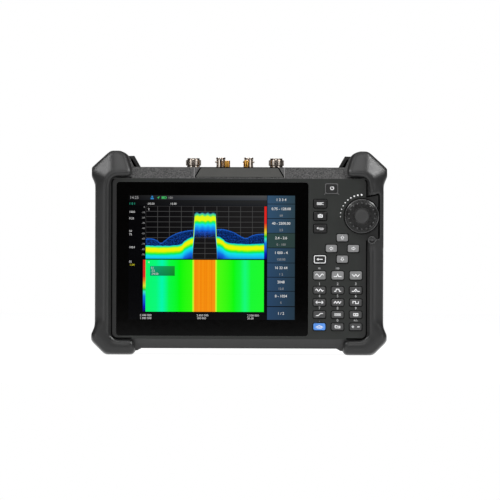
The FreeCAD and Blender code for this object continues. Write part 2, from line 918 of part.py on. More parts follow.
def make_front_case():
    body = new_body("front_case")
    sketch = new_sketch(body, "front_case_outline", "XZ_Plane", front_face)
    draw_polygon(sketch, front_outline())
    pad(body, sketch, "front_case_block", front_back - front_face)
    bevel_front(body)
    bevel_sides(body)
    hollow(body, "front_case_shell", dim.case_wall, front_back)
    # The glass lies in a rebate, and the display shows through the window in its floor.
    box_cut(body, "glass_rebate", "XZ_Plane", glass_seat, front_face, dim.glass_thickness,
            dim.glass_corner + dim.glass_fit)
    window = around(dim.display_center, dim.display_lift, dim.panel_width, dim.panel_height, dim.panel_fit)
    box_cut(body, "display_window", "XZ_Plane", window, front_face, 2 * dim.case_wall)
    power_seat = around(dim.power_key_x, dim.power_key_z, dim.power_key_width, dim.power_key_height,
                        dim.key_fit + dim.power_bezel_wall)
    box_cut(body, "power_bezel_seat", "XZ_Plane", power_seat, front_face, dim.power_bezel_depth,
            dim.key_corner, draw_cut_box)
    # Round well and bearing bore of the jog wheel.
    holes(body, "wheel_well", wheel_center, dim.wheel_radius + dim.wheel_well_gap, front_face,
          dim.wheel_well_depth, draw_circle)
    holes(body, "wheel_bore", wheel_center, dim.wheel_hub_radius + dim.wheel_hub_fit, front_face,
          2 * dim.case_wall, draw_circle)
    # Bosses for the display frame, the keypad board and the case screws.
    posts(body, "frame_bosses", frame_boss_places, dim.frame_boss_radius, front_inside,
          panel_back - front_inside)
    posts(body, "keypad_bosses", keypad_boss_places, dim.keypad_boss_radius, front_inside,
          keypad_board_front - front_inside)
    posts(body, "screw_bosses", screw_places, dim.column_radius, front_inside,
          front_back - front_inside)
    holes(body, "screw_boss_holes", screw_places, dim.screw_radius + dim.screw_fit,
          front_back - dim.screw_bite, dim.screw_bite)
    # Key openings, one for each group, repeated over its columns and rows.
    for group in sorted(groups, key=lambda item: len(item.rows) * len(item.rows[0])):
        opening = around(group.x, group.z, group.width, group.height, dim.key_fit)
        feature, sketch = box_cut(body, f"{group.name}_opening", "XZ_Plane", opening, front_face,
                                  2 * dim.case_wall, dim.key_corner, draw_cut_box)
        columns, rows = len(group.rows[0]), len(group.rows)
        if columns > 1 and rows > 1:
            grid = pattern(body, feature, f"{group.name}_openings", sketch, columns, group.pitch_x)
            bind(grid, Length2=group.pitch_z * (rows - 1), Occurrences2=rows)
            grid.Direction2 = (sketch, ["V_Axis"])
            doc.recompute()
        elif columns > 1:
            pattern(body, feature, f"{group.name}_openings", sketch, columns, group.pitch_x)
        elif rows > 1:
            pattern(body, feature, f"{group.name}_openings", sketch, rows, group.pitch_z, "V_Axis")
    return keep(body)


bay_box = (-dim.battery_left - dim.battery_fit, -dim.battery_right + dim.battery_fit,
           dim.battery_base - dim.battery_fit, dim.battery_top + dim.battery_fit)
battery_back = rear_face - dim.cover_thickness
battery_front = battery_back - dim.battery_depth
cover_box = (-dim.battery_left - dim.cover_margin, -dim.battery_right + dim.cover_margin,
             dim.battery_base - dim.cover_margin, dim.battery_top + dim.cover_margin)
cover_middle = -(dim.battery_left + dim.battery_right) / 2
cover_screw_places = [
    (cover_middle, dim.battery_base - dim.cover_margin - dim.cover_screw_inset),
    (cover_middle, dim.battery_top + dim.cover_margin + dim.cover_screw_inset),
]
stand_recess_floor = rear_face - dim.stand_recess
stand_hinge_back = rear_face - dim.stand_hinge_depth
stand_top = dim.stand_hinge_height + dim.stand_barrel_radius
stand_block_front = rear_face - dim.stand_block


def grown(bounds, margin):
    left, right, base, top = bounds
    return (left - margin, right + margin, base - margin, top + margin)


def cover_tabs(body, name, shape, grow=none):
    """The round tabs of the battery cover: shape pads them on it or cuts their place in the case."""
    sketch = new_sketch(body, f"{name}_circles", "XZ_Plane", battery_back)
    for x, z in cover_screw_places:
        draw_circle(sketch, x, z, dim.cover_tab + grow)
    return shape(body, sketch, name, dim.cover_thickness)


def make_rear_case():
    body = new_body("rear_case")
    sketch = new_sketch(body, "rear_case_outline", "XZ_Plane", rear_front)
    draw_polygon(sketch, rear_outline())
    pad(body, sketch, "rear_case_block", rear_face - rear_front)
    bevel_back(body)
    hollow(body, "rear_case_shell", dim.case_wall, rear_front)
    # Battery bay: a box that hangs from the rear wall, open to the back.
    bay_front = battery_front - dim.bay_wall
    box_pad(body, "bay_block", "XZ_Plane", grown(bay_box, dim.bay_wall), bay_front,
            rear_inside - bay_front)
    # Columns for the cover screws and the case screws, and the thick wall round the kickstand.
    posts(body, "cover_screw_columns", cover_screw_places, dim.cover_screw_radius * 2,
          rear_inside - dim.stand_block, dim.stand_block)
    posts(body, "case_screw_columns", screw_places, dim.column_radius, rear_front,
          rear_inside - rear_front)
    block = (-dim.stand_half_width - dim.stand_border, dim.stand_half_width + dim.stand_border,
             dim.stand_base - dim.notch_height - dim.stand_block_margin,
             stand_top + dim.stand_fit + dim.stand_block_margin)
    box_pad(body, "stand_block", "XZ_Plane", block, stand_block_front, rear_inside - stand_block_front)
    box_cut(body, "battery_bay", "XZ_Plane", bay_box, battery_front, rear_face - battery_front,
            dim.battery_corner)
    box_cut(body, "cover_rebate", "XZ_Plane", grown(cover_box, dim.cover_fit), battery_back,
            dim.cover_thickness, dim.battery_corner)
    cover_tabs(body, "cover_tab_rebates", cut, dim.cover_fit)
    holes(body, "cover_screw_holes", cover_screw_places, dim.screw_radius + dim.screw_fit,
          battery_back - dim.screw_head_depth, dim.screw_head_depth)
    # Kickstand recess with a finger notch below it, and the bores of the hinge pins.
    recess = (-dim.stand_half_width - dim.stand_fit, dim.stand_half_width + dim.stand_fit,
              dim.stand_base - dim.stand_fit, stand_top + dim.stand_fit)
    box_cut(body, "stand_recess", "XZ_Plane", recess, stand_recess_floor, dim.stand_recess)
    notch = (-dim.notch_half_width, dim.notch_half_width,
             dim.stand_base - dim.notch_height, dim.stand_base)
    box_cut(body, "finger_notch", "XZ_Plane", notch, stand_recess_floor, dim.stand_recess)
    sketch = new_sketch(body, "hinge_bore_circle", "YZ_Plane")
    draw_circle(sketch, stand_hinge_back, dim.stand_hinge_height, dim.stand_pin_radius)
    reach = dim.stand_half_width + dim.stand_fit + dim.stand_pin_grip
    cut(body, sketch, "hinge_bores", 2 * reach, both=True)
    # Bores for the case screws, with a counterbore for each head.
    holes(body, "case_screw_bores", screw_places, dim.screw_radius + dim.screw_fit, rear_front,
          rear_face - rear_front)
    holes(body, "case_screw_sinks", screw_places, dim.screw_head_radius + dim.cover_fit,
          rear_face - dim.screw_head_depth, dim.screw_head_depth)
    # Opening for the connector tray in the top wall, with a rebate for its flange.
    flange_base = dim.case_top - dim.tray_flange_thickness
    box_cut(body, "tray_rebate", "XY_Plane", grown(tray_flange_box(), dim.tray_fit), flange_base,
            dim.tray_flange_thickness, dim.tray_corner)
    box_cut(body, "tray_opening", "XY_Plane", grown(tray_wall_box(), dim.tray_fit),
            dim.case_top - 2 * dim.case_wall, 2 * dim.case_wall, dim.tray_corner / 2, draw_cut_box)
    # Vents over the heat sink.
    vent = (dim.vent_start, dim.vent_start + dim.vent_width, dim.vent_base, dim.vent_top)
    feature, sketch = box_cut(body, "vent_slot", "XZ_Plane", vent, rear_inside, dim.case_wall)
    pattern(body, feature, "vent_slots", sketch, dim.vent_count, dim.vent_pitch)
    return keep(body)


def tray_flange_box():
    return (-dim.tray_left, dim.tray_right, dim.tray_front, dim.tray_back)


def tray_wall_box():
    return (-dim.tray_left + dim.tray_flange_side, dim.tray_right - dim.tray_flange_side,
            dim.tray_front + dim.tray_flange_end, dim.tray_back - dim.tray_flange_end)


def make_case_seal():
    body = new_body("case_seal")
    sketch = new_sketch(body, "case_seal_outline", "XZ_Plane", front_back)
    draw_polygon(sketch, front_outline(-dim.seal_inset))
    draw_polygon(sketch, front_outline(-dim.seal_inset - dim.seal_width))
    pad(body, sketch, "case_seal_ring", dim.seal_thickness)
    return keep(body)


def make_envelope():
    """The space that the case takes inside a bumper, with the bumper's fit."""
    body = new_body("case_envelope")
    grow = dim.bumper_fit
    sketch = new_sketch(body, "envelope_outline", "XZ_Plane", front_face - grow)
    draw_polygon(sketch, rear_outline(grow))
    pad(body, sketch, "envelope_block", rear_face - front_face + 2 * grow)
    bevel_front(body, grow)
    bevel_sides(body, grow)
    bevel_back(body, grow)
    return body


def bumper_profile():
    """Front view of the right bumper's outer and inner edge, with sharp corners."""
    inner = inward(dim.bumper_inner_in)
    toe = inward(dim.bumper_toe_in)
    elbow = outward(dim.bumper_elbow_out)
    return [
        (outward(dim.bumper_arm_out), dim.bumper_arm_base),
        (outward(dim.bumper_arm_out), below(dim.bumper_arm_below)),
        (elbow, below(dim.bumper_elbow_base_below)),
        (elbow, below(dim.bumper_elbow_top_below)),
        (inward(dim.bumper_top_outer_in), above(dim.bumper_above)),
        (inward(dim.bumper_top_inner_in), above(dim.bumper_above)),
        (inward(dim.bumper_end_in), below(dim.bumper_end_below)),
        (inward(dim.bumper_end_in), below(dim.bumper_lip_below)),
        (inner, below(dim.bumper_lip_below)),
        (inner, dim.bumper_toe_top + dim.bumper_inner_chamfer),
        (inner - dim.bumper_inner_chamfer, dim.bumper_toe_top),
        (toe, dim.bumper_toe_top),
        (toe, none),
        (inward(dim.bumper_sole_in), none),
        (outward(dim.bumper_heel_out), dim.bumper_heel_height),
        (elbow, dim.bumper_heel_base),
        (elbow, dim.bumper_heel_top),
    ]


def bumper_rounds():
    """The corners of the profile that are rounded: a name, the corner and its radius."""
    end, toe = inward(dim.bumper_end_in), inward(dim.bumper_toe_in)
    return [
        ("tip", inward(dim.bumper_top_inner_in), above(dim.bumper_above), dim.bumper_lip_round),
        ("lip", end, below(dim.bumper_lip_below), dim.bumper_lip_round),
        ("bend", inward(dim.bumper_inner_in), below(dim.bumper_lip_below), dim.bumper_inner_round),
        ("toe", toe, dim.bumper_toe_top, dim.bumper_toe_round),
        ("toe_foot", toe, none, dim.bumper_toe_foot_round),
    ]


def bumper_crest():
    """Where the facets start on the bumper's front, and the closing line behind its inner edge."""
    inset = dim.crest_sole_inset
    closing = inward(dim.foot_start_in)
    elbow = outward(dim.bumper_elbow_out)
    return [
        (closing, below(dim.crest_below)),
        (inward(dim.crest_corner_in), below(dim.crest_below)),
        (inward(dim.crest_elbow_in), below(dim.crest_elbow_below)),
        (inward(dim.crest_arm_in), below(dim.crest_arm_below)),
        (inward(dim.crest_arm_in), dim.crest_arm_base),
        (elbow - inset, dim.bumper_heel_top + inset),
        (elbow - inset, dim.bumper_heel_base),
        (outward(dim.bumper_heel_out) - inset, dim.bumper_heel_height + inset / 2),
        (inward(dim.bumper_sole_in) - inset / 2, inset),
        (closing, inset),
    ]


def bumper_skirt():
    """The facets' outer ends. Beside the arm they reach past the outline, for a flatter facet."""
    reach = inward(dim.crest_arm_in) + dim.arm_facet_reach
    closing = inward(dim.foot_start_in)
    elbow = outward(dim.bumper_elbow_out)
    return [
        (closing, above(dim.bumper_above)),
        (inward(dim.bumper_top_outer_in), above(dim.bumper_above)),
        (elbow, below(dim.bumper_elbow_top_below)),
        (reach, below(dim.crest_arm_below)),
        (reach, dim.crest_arm_base),
        (elbow, dim.bumper_heel_top),
        (elbow, dim.bumper_heel_base),
        (outward(dim.bumper_heel_out), dim.bumper_heel_height),
        (inward(dim.bumper_sole_in), none),
        (closing, none),
    ]


def bumper_hem():
    """The chamfered outline of the bumper's back."""
    inset = dim.rear_chamfer_inset
    closing = inward(dim.foot_start_in)
    elbow = outward(dim.bumper_elbow_out)
    arm = outward(dim.bumper_arm_out)
    return [
        (closing, above(dim.bumper_above) - inset),
        (inward(dim.bumper_top_outer_in) - inset / 2, above(dim.bumper_above) - inset),
        (elbow - inset, below(dim.bumper_elbow_top_below) - inset / 2),
        (arm - inset, below(dim.crest_arm_below)),
        (arm - inset, dim.crest_arm_base),
        (elbow - inset, dim.bumper_heel_top),
        (elbow - inset, dim.bumper_heel_base),
        (outward(dim.bumper_heel_out) - inset, dim.bumper_heel_height),
        (inward(dim.bumper_sole_in) - inset, dim.rear_sole_inset),
        (closing, dim.rear_sole_inset),
    ]


def loft(body, name, first, second):
    feature = body.newObject("PartDesign::AdditiveLoft", name)
    feature.Profile = first
    feature.Sections = [second]
    feature.Ruled = True
    doc.recompute()
    return feature


def make_bumper(name, side, envelope):
    """A C-shaped bumper: its outline, limited by the facets in front and a chamfer at the back."""

    def placed(points):
        return [(as_size(x) * side, z) for x, z in points]

    prism = new_body(f"{name}_outline")
    sketch = new_sketch(prism, f"{name}_profile", "XZ_Plane", bumper_front)
    draw_polygon(sketch, placed(bumper_profile()))
    pad(prism, sketch, f"{name}_prism", bumper_back - bumper_front)
    for corner, x, z, radius in bumper_rounds():
        dress_edges(prism, "Fillet", f"{name}_{corner}", radius,
                    lambda edge: stands_at(edge, x * side, z))
    dress_edges(prism, "Chamfer", f"{name}_front_chamfer", dim.bumper_front_chamfer,
                lambda edge: lies_in_plane(edge, bumper_front))
    facets = new_body(f"{name}_facets")
    levels = []
    for level, points, y in (
        ("crest", bumper_crest(), bumper_front),
        ("skirt", bumper_skirt(), bumper_front + dim.facet_depth),
        ("waist", bumper_skirt(), bumper_back - dim.rear_chamfer_depth),
        ("hem", bumper_hem(), bumper_back),
    ):
        sketch = new_sketch(facets, f"{name}_{level}", "XZ_Plane", y)
        draw_polygon(sketch, placed(points))
        levels.append(sketch)
    loft(facets, f"{name}_front_facets", levels[0], levels[1])
    loft(facets, f"{name}_middle", levels[1], levels[2])
    loft(facets, f"{name}_back_facets", levels[2], levels[3])
    rubber = doc.addObject("Part::Common", f"{name}_rubber")
    rubber.Base = prism
    rubber.Tool = facets
    result = doc.addObject("Part::Cut", name if side < 0 else f"{name}_shell")
    result.Base = rubber
    result.Tool = envelope
    doc.recompute()
    return result


def make_left_bumper(envelope):
    bumper = make_bumper("left_bumper", -1, envelope)
    bumper.Label = "left_bumper"
    return keep(bumper)


def make_right_bumper(envelope):
    """The right bumper leaves the jog wheel free: a pocket for the wheel and a finger scoop."""
    shell = make_bumper("right_bumper", 1, envelope)
    pocket = new_body("wheel_pocket")
    front = bumper_front - PAST
    inner = inward(dim.bumper_inner_in) - PAST
    side = wheel_x + dim.wheel_radius + dim.wheel_pocket_gap
    base = wheel_z - dim.wheel_radius - dim.wheel_pocket_under
    top = wheel_z + dim.wheel_radius + dim.wheel_pocket_over
    sketch = new_sketch(pocket, "wheel_pocket_outline", "XZ_Plane", front)
    draw_polygon(sketch, [
        (inner, base),
        (side, base),
        (side, top + dim.wheel_pocket_slope),
        (inner, top),
    ])
    pad(pocket, sketch, "wheel_pocket_block", front_face - front + dim.side_bevel)
    scoop = doc.addObject("Part::Ellipsoid", "finger_scoop")
    bind(scoop, Radius2=dim.scoop_width / 2, Radius3=dim.scoop_height / 2, Radius1=dim.scoop_width / 2,
         Placement_at_Base_at_x=inward(dim.scoop_in), Placement_at_Base_at_z=base - dim.scoop_drop,
         Placement_at_Base_at_y=bumper_front)
    tools = doc.addObject("Part::MultiFuse", "wheel_pocket_tools")
    tools.Shapes = [pocket, scoop]
    bumper = doc.addObject("Part::Cut", "right_bumper")
    bumper.Base = shell
    bumper.Tool = tools
    bumper.Label = "right_bumper"
    doc.recompute()
    return keep(bumper)


def make_nameplate():
    """A blank trapezoid on the top bevel. Its placement turns it to the bevel's 45 degrees."""
    body = new_body("nameplate")
    sketch = new_sketch(body, "nameplate_outline", "XZ_Plane", -dim.plate_thickness)
    half = dim.plate_height / 2
    draw_polygon(sketch, [
        (-dim.plate_base_half_width, -half),
        (dim.plate_base_half_width, -half),
        (dim.plate_top_half_width, half),
        (-dim.plate_top_half_width, half),
    ])
    pad(body, sketch, "nameplate_plate", dim.plate_thickness)
    body.Placement = Placement(Vector(0, 0, 0), Rotation(Vector(1, 0, 0), -45))
    bind(body, Placement_at_Base_at_y=front_face + dim.top_bevel / 2,
         Placement_at_Base_at_z=dim.case_top - dim.top_bevel / 2)
    doc.recompute()
    return keep(body)


def make_touch_glass():
    body = new_body("touch_glass")
    box_pad(body, "glass_plate", "XZ_Plane", glass_box, front_face, dim.glass_thickness, dim.glass_corner)
    return keep(body)


def make_display_panel():
    body = new_body("display_panel")
    bounds = around(dim.display_center, dim.display_lift, dim.panel_width, dim.panel_height)
    box_pad(body, "panel_block", "XZ_Plane", bounds, glass_back, dim.panel_thickness)
    return keep(body)


def make_display_frame():
    """Sheet frame behind the panel, on the case's bosses, with standoffs for the main board."""
    body = new_body("display_frame")
    bounds = (-dim.frame_left, dim.frame_right, dim.frame_base, dim.frame_top)
    box_pad(body, "frame_sheet", "XZ_Plane", bounds, panel_back, dim.frame_thickness)
    window = around(dim.display_center, dim.display_lift, dim.frame_window_width, dim.frame_window_height)
    box_cut(body, "frame_window", "XZ_Plane", window, panel_back, dim.frame_thickness, dim.stand_corner)
    posts(body, "board_standoffs", standoff_places, dim.standoff_radius, frame_back, dim.main_board_gap)
    return keep(body)


standoff_places = [
    (x, z)
    for x in (-dim.main_board_left + dim.standoff_inset, dim.main_board_right - dim.standoff_inset)
    for z in (dim.main_board_base + dim.standoff_inset, dim.main_board_top - dim.standoff_inset)
]


def make_keypad_board():
    body = new_body("keypad_board")
    bounds = (dim.keypad_board_left, keypad_board_right, dim.keypad_board_base, dim.keypad_board_top)
    box_pad(body, "keypad_board_sheet", "XZ_Plane", bounds, keypad_board_front,
            dim.keypad_board_thickness)
    return keep(body)


def make_dome_sheet():
    """Switch sheet on the keypad board with a raised switch under each key."""
    body = new_body("dome_sheet")
    margin = dim.dome_sheet_margin
    bounds = (dim.keypad_board_left + margin, keypad_board_right - margin,
              dim.keypad_board_base + dim.dome_sheet_foot, dim.keypad_board_top - margin)
    box_pad(body, "dome_sheet_base", "XZ_Plane", bounds, dome_sheet_front, dim.dome_sheet_thickness)
    sketch = new_sketch(body, "dome_outlines", "XZ_Plane", dome_front)
    for group in groups:
        for key in group.keys():
            draw_box(sketch, *around(key.x, key.z, dim.dome_width, dim.dome_width))
    pad(body, sketch, "domes", dim.dome_height)
    # Clear of the encoder and of the bosses that carry the board.
    whole_depth = dim.dome_height + dim.dome_sheet_thickness
    encoder = around(wheel_x, wheel_z, dim.encoder_side, dim.encoder_side, dim.encoder_margin)
    box_cut(body, "encoder_clearance", "XZ_Plane", encoder, dome_front, whole_depth)
    holes(body, "boss_clearances", keypad_boss_places[2:], dim.keypad_boss_radius + dim.dome_sheet_gap,
          dome_front, whole_depth)
    return keep(body)


def make_key(key):
    """Cap, flange behind the case wall and stem, about the key's own middle."""
    body = new_body(key.name)
    box_pad(body, f"{key.name}_cap", "XZ_Plane", around(none, none, key.width, key.height),
            cap_front, flange_front - cap_front, dim.key_corner, draw_cut_box)
    dress_edges(body, "Chamfer", f"{key.name}_cap_edge", dim.key_chamfer,
                lambda edge: lies_in_plane(edge, cap_front))
    box_pad(body, f"{key.name}_flange", "XZ_Plane",
            around(none, none, key.width, key.height, dim.key_flange), flange_front,
            dim.key_flange_thickness)
    box_pad(body, f"{key.name}_stem", "XZ_Plane", around(none, none, dim.key_stem, dim.key_stem),
            flange_back, dim.key_stem_length)
    bind(body, Placement_at_Base_at_x=key.x, Placement_at_Base_at_z=key.z)
    doc.recompute()
    return keep(body)


def make_power_bezel():
    body = new_body("power_bezel")
    x, z, width, height = dim.power_key_x, dim.power_key_z, dim.power_key_width, dim.power_key_height
    outer = around(x, z, width, height, dim.key_fit + dim.power_bezel_wall)
    inner = around(x, z, width, height, dim.key_fit)
    start = front_face - dim.power_bezel_rise
    length = dim.power_bezel_rise + dim.power_bezel_depth
    box_pad(body, "bezel_ring", "XZ_Plane", outer, start, length, dim.key_corner, draw_cut_box)
    box_cut(body, "bezel_hole", "XZ_Plane", inner, start, length, dim.key_corner, draw_cut_box)
    return keep(body)


wheel_front = front_face - dim.wheel_rise
wheel_back = front_face + dim.wheel_well_depth - dim.wheel_floor_gap
hub_back = front_inside + dim.snap_ring_gap + dim.snap_ring_thickness
encoder_front = hub_back + dim.encoder_gap
bushing_front = front_face + dim.bushing_inset
button_end = encoder_front + dim.button_stem_reach
button_front = front_face - dim.button_rise
button_back = button_front + dim.button_cap_depth


def turned(name, profile):
    """A piece turned about the wheel's axis, from a profile of (radius, y) points."""
    body = new_body(name)
    sketch = new_sketch(body, f"{name}_profile", "XY_Plane")
    draw_polygon(sketch, profile)
    feature = body.newObject("PartDesign::Revolution", f"{name}_turned")
    feature.Profile = sketch
    feature.ReferenceAxis = (sketch, ["V_Axis"])
    feature.Angle = 360.0
    bind(body, Placement_at_Base_at_x=wheel_x, Placement_at_Base_at_z=wheel_z)
    doc.recompute()
    return body


def make_jog_wheel():
    """Wheel with a stepped rim, a hub that runs in the case and a ring of small grip nubs."""
    radius, lip, lip_depth = dim.wheel_radius, dim.wheel_lip, dim.wheel_lip_depth
    body = turned("jog_wheel", [
        (dim.wheel_bore_radius, wheel_front),
        (radius - lip, wheel_front),
        (radius - lip, wheel_front + lip_depth),
        (radius - lip / 2, wheel_front + lip_depth),
        (radius, wheel_front + lip_depth + lip / 2),
        (radius, wheel_back),
        (dim.wheel_hub_radius, wheel_back),
        (dim.wheel_hub_radius, front_inside),
        (dim.snap_groove_radius, front_inside),
        (dim.snap_groove_radius, hub_back),
        (dim.wheel_bore_radius, hub_back),
    ])
    sketch = new_sketch(body, "nub_outline", "XZ_Plane", wheel_front - dim.wheel_nub_height)
    draw_octagon(sketch, none, dim.wheel_nub_ring, dim.wheel_nub_radius)
    nub = pad(body, sketch, "nub", dim.wheel_nub_height)
    ring = body.newObject("PartDesign::PolarPattern", "nubs")
    ring.Originals = [nub]
    ring.Axis = (sketch, ["N_Axis"])
    ring.Angle = 360.0
    bind(ring, Occurrences=360 / dim.wheel_nub_step)
    body.Tip = ring
    doc.recompute()
    return keep(body)


def make_wheel_retainer():
    """Snap ring in the hub's groove, behind the case wall."""
    body = new_body("wheel_retainer")
    start = front_inside + dim.snap_ring_gap
    posts(body, "snap_ring", wheel_center, dim.snap_ring_radius, start, dim.snap_ring_thickness)
    holes(body, "snap_ring_hole", wheel_center, dim.snap_groove_radius, start, dim.snap_ring_thickness)
    return keep(body)


def make_enter_button():
    """Domed button in the wheel's bore, on a stem that runs in the encoder's bushing."""
    radius = dim.wheel_bore_radius - dim.button_fit
    body = turned("enter_button", [
        (none, button_front - dim.button_crown),
        (dim.button_crown_radius, button_front - dim.button_crown * 3 / 4),
        (radius, button_front + dim.button_crown),
        (radius, button_back),
        (dim.button_stem_radius, button_back),
        (dim.button_stem_radius, button_end),
        (none, button_end),
    ])
    return keep(body)


def make_encoder_housing():
    """Square housing on the keypad board with a bushing that reaches into the wheel's hub."""
    body = new_body("encoder_housing")
    bounds = around(wheel_x, wheel_z, dim.encoder_side, dim.encoder_side)
    box_pad(body, "encoder_block", "XZ_Plane", bounds, encoder_front, keypad_board_front - encoder_front)
    posts(body, "encoder_bushing", wheel_center, dim.encoder_bushing_radius, bushing_front,
          encoder_front - bushing_front)
    bore_end = button_end + dim.button_travel + dim.button_stem_gap
    holes(body, "encoder_bore", wheel_center, dim.button_stem_radius + dim.encoder_bore_fit,
          bushing_front, bore_end - bushing_front, draw_circle)
    return keep(body)


def make_main_board():
    body = new_body("main_board")
    bounds = (-dim.main_board_left, dim.main_board_right, dim.main_board_base, dim.main_board_top)
    box_pad(body, "main_board_sheet", "XZ_Plane", bounds, board_front, dim.main_board_thickness)
    return keep(body)


def make_rf_shield():
    """Shield can over the radio section of the board."""
    body = new_body("rf_shield")
    bounds = (-dim.shield_left, dim.shield_right, dim.shield_base, dim.shield_top)
    box_pad(body, "shield_block", "XZ_Plane", bounds, board_back, dim.shield_depth)
    return keep(body)


def make_heat_spreader():
    """Heat sink on the shield, with upright fins under the vents."""
    body = new_body("heat_spreader")
    left, right = -dim.shield_left, dim.shield_right
    bounds = (left, right, dim.shield_base, dim.shield_top)
    box_pad(body, "sink_base", "XZ_Plane", bounds, shield_back, dim.sink_base_thickness)
    fin_start = shield_back + dim.sink_base_thickness
    left = left + dim.sink_fin_inset
    feature, sketch = box_pad(body, "sink_fin", "XZ_Plane",
                              (left, left + dim.sink_fin_thickness, dim.shield_base, dim.shield_top),
                              fin_start, dim.sink_fin_depth)
    pattern(body, feature, "sink_fins", sketch, dim.sink_fin_count, dim.sink_fin_pitch)
    return keep(body)


def make_battery_pack():
    body = new_body("battery_pack")
    bounds = (-dim.battery_left, -dim.battery_right, dim.battery_base, dim.battery_top)
    box_pad(body, "battery_block", "XZ_Plane", bounds, battery_front, dim.battery_depth,
            dim.battery_corner)
    return keep(body)


def make_battery_cover():
    """Cover plate flush with the back, with a round tab for each captive screw."""
    body = new_body("battery_cover")
    box_pad(body, "cover_plate", "XZ_Plane", cover_box, battery_back, dim.cover_thickness,
            dim.battery_corner)
    cover_tabs(body, "cover_tabs", pad)
    holes(body, "cover_screw_sinks", cover_screw_places, dim.cover_screw_radius + dim.cover_fit,
          battery_back + dim.cover_sink_floor, dim.cover_thickness)
    holes(body, "cover_screw_passes", cover_screw_places, dim.screw_radius + dim.screw_fit,
          battery_back, dim.cover_thickness)
    return keep(body)


def make_screws(name, places, shaft_start, seat, head_radius, head_height):
    """Screws along Y: an eight sided shaft, and a head on its seat."""
    pieces = []
    for index, (x, z) in enumerate(places, start=1):
        for kind, sides, radius, start, length in (
            ("shaft", OCTAGON, dim.screw_radius, shaft_start, seat - shaft_start),
            ("head", SCREW_HEAD_SIDES, head_radius, seat, head_height),
        ):
            piece = doc.addObject("Part::Prism", f"{name}_{kind}_{index}")
            piece.Polygon = sides
            piece.Placement = Placement(Vector(0, 0, 0), Rotation(Vector(1, 0, 0), -90))
            bind(piece, Circumradius=radius, Height=length, Placement_at_Base_at_x=x,
                 Placement_at_Base_at_y=start, Placement_at_Base_at_z=z)
            pieces.append(piece)
    fused = doc.addObject("Part::MultiFuse", name)
    fused.Shapes = pieces
    fused.Label = name
    doc.recompute()
    return keep(fused)


stand_front = stand_hinge_back - dim.stand_barrel_radius
stand_box = (-dim.stand_half_width, dim.stand_half_width, dim.stand_base, dim.stand_hinge_height)


def make_kickstand():
    """Plate with a barrel along its upper edge and a large window."""
    body = new_body("kickstand")
    box_pad(body, "stand_plate", "XZ_Plane", stand_box, stand_front, dim.stand_thickness)
    left, right, base, top = stand_box
    border = dim.stand_window_border
    window = (left + border, right - border, base + dim.stand_window_lift, top - border)
    box_cut(body, "stand_window", "XZ_Plane", window, stand_front, dim.stand_thickness,
            dim.stand_corner)
    foot = (-dim.stand_foot_half_width, dim.stand_foot_half_width, base,
            base + dim.stand_foot_height)
    box_cut(body, "foot_cut", "XZ_Plane", foot, stand_front, dim.stand_thickness)
    sketch = new_sketch(body, "barrel_circle", "YZ_Plane")
    draw_circle(sketch, stand_hinge_back, dim.stand_hinge_height, dim.stand_barrel_radius)
    pad(body, sketch, "barrel", 2 * dim.stand_half_width, both=True)
    depth = dim.stand_pin_grip
    for name, start in (("left_pin_bore", -dim.stand_half_width), ("right_pin_bore", right - depth)):
        sketch = new_sketch(body, f"{name}_circle", "YZ_Plane", start)
        draw_circle(sketch, stand_hinge_back, dim.stand_hinge_height,
                    dim.stand_pin_radius + dim.stand_pin_fit)
        cut(body, sketch, name, depth)
    return keep(body)


def make_kickstand_pins():
    """A pin at each end of the barrel, held in the case."""
    pins = []
    start = dim.stand_half_width - dim.stand_pin_grip + dim.stand_pin_end_gap
    length = dim.stand_fit + 2 * dim.stand_pin_grip - dim.stand_pin_end_gap
    for name, first in (("left_pin", -start - length), ("right_pin", start)):
        pin = doc.addObject("Part::Cylinder", name)
        pin.Placement = Placement(Vector(0, 0, 0), Rotation(Vector(0, 1, 0), 90))
        bind(pin, Radius=dim.stand_pin_radius, Height=length, Placement_at_Base_at_x=first,
             Placement_at_Base_at_y=stand_hinge_back,
             Placement_at_Base_at_z=dim.stand_hinge_height)
        pins.append(pin)
    both = doc.addObject("Part::Compound", "kickstand_pins")
    both.Links = pins
    both.Label = "kickstand_pins"
    doc.recompute()
    return keep(both)


def make_kickstand_foot():
    body = new_body("kickstand_foot")
    bounds = (-dim.stand_foot_half_width, dim.stand_foot_half_width, dim.stand_base,
              dim.stand_base + dim.stand_foot_height)
    box_pad(body, "foot_strip", "XZ_Plane", bounds, stand_front, dim.stand_thickness)
    return keep(body)


def make_connector_tray():
    """Deep tray in the top wall, with a bore in its floor for each connector."""
    body = new_body("connector_tray")
    flange_base = dim.case_top - dim.tray_flange_thickness
    floor_base = tray_floor - dim.tray_floor_thickness
    box_pad(body, "tray_flange", "XY_Plane", tray_flange_box(), flange_base,
            dim.tray_flange_thickness, dim.tray_corner)
    box_pad(body, "tray_box", "XY_Plane", tray_wall_box(), floor_base, flange_base - floor_base,
            dim.tray_corner / 2, draw_cut_box)
    left, right, front, back = tray_wall_box()
    wall = dim.tray_wall
    box_cut(body, "tray_channel", "XY_Plane", (left + wall, right - wall, front + wall, back - wall),
            tray_floor, dim.tray_depth, dim.tray_corner - wall / 2)
    sketch = new_sketch(body, "connector_bore_outlines", "XY_Plane", floor_base)
    for style, x, y in connector_places():
        draw_regular(sketch, OCTAGON, style.tail + dim.connector_fit, x, y)
    cut(body, sketch, "connector_bores", dim.tray_floor_thickness)
    return keep(body)


class ConnectorStyle:
    """The sizes that a kind of RF connector has in common."""

    def __init__(self, flange, flange_height, tail, bore, bore_depth, height, contact):
        self.flange = flange
        self.flange_height = flange_height
        self.tail = tail
        self.bore = bore
        self.bore_depth = bore_depth
        self.height = height
        self.contact = contact

    def top(self):
        return tray_floor + self.height


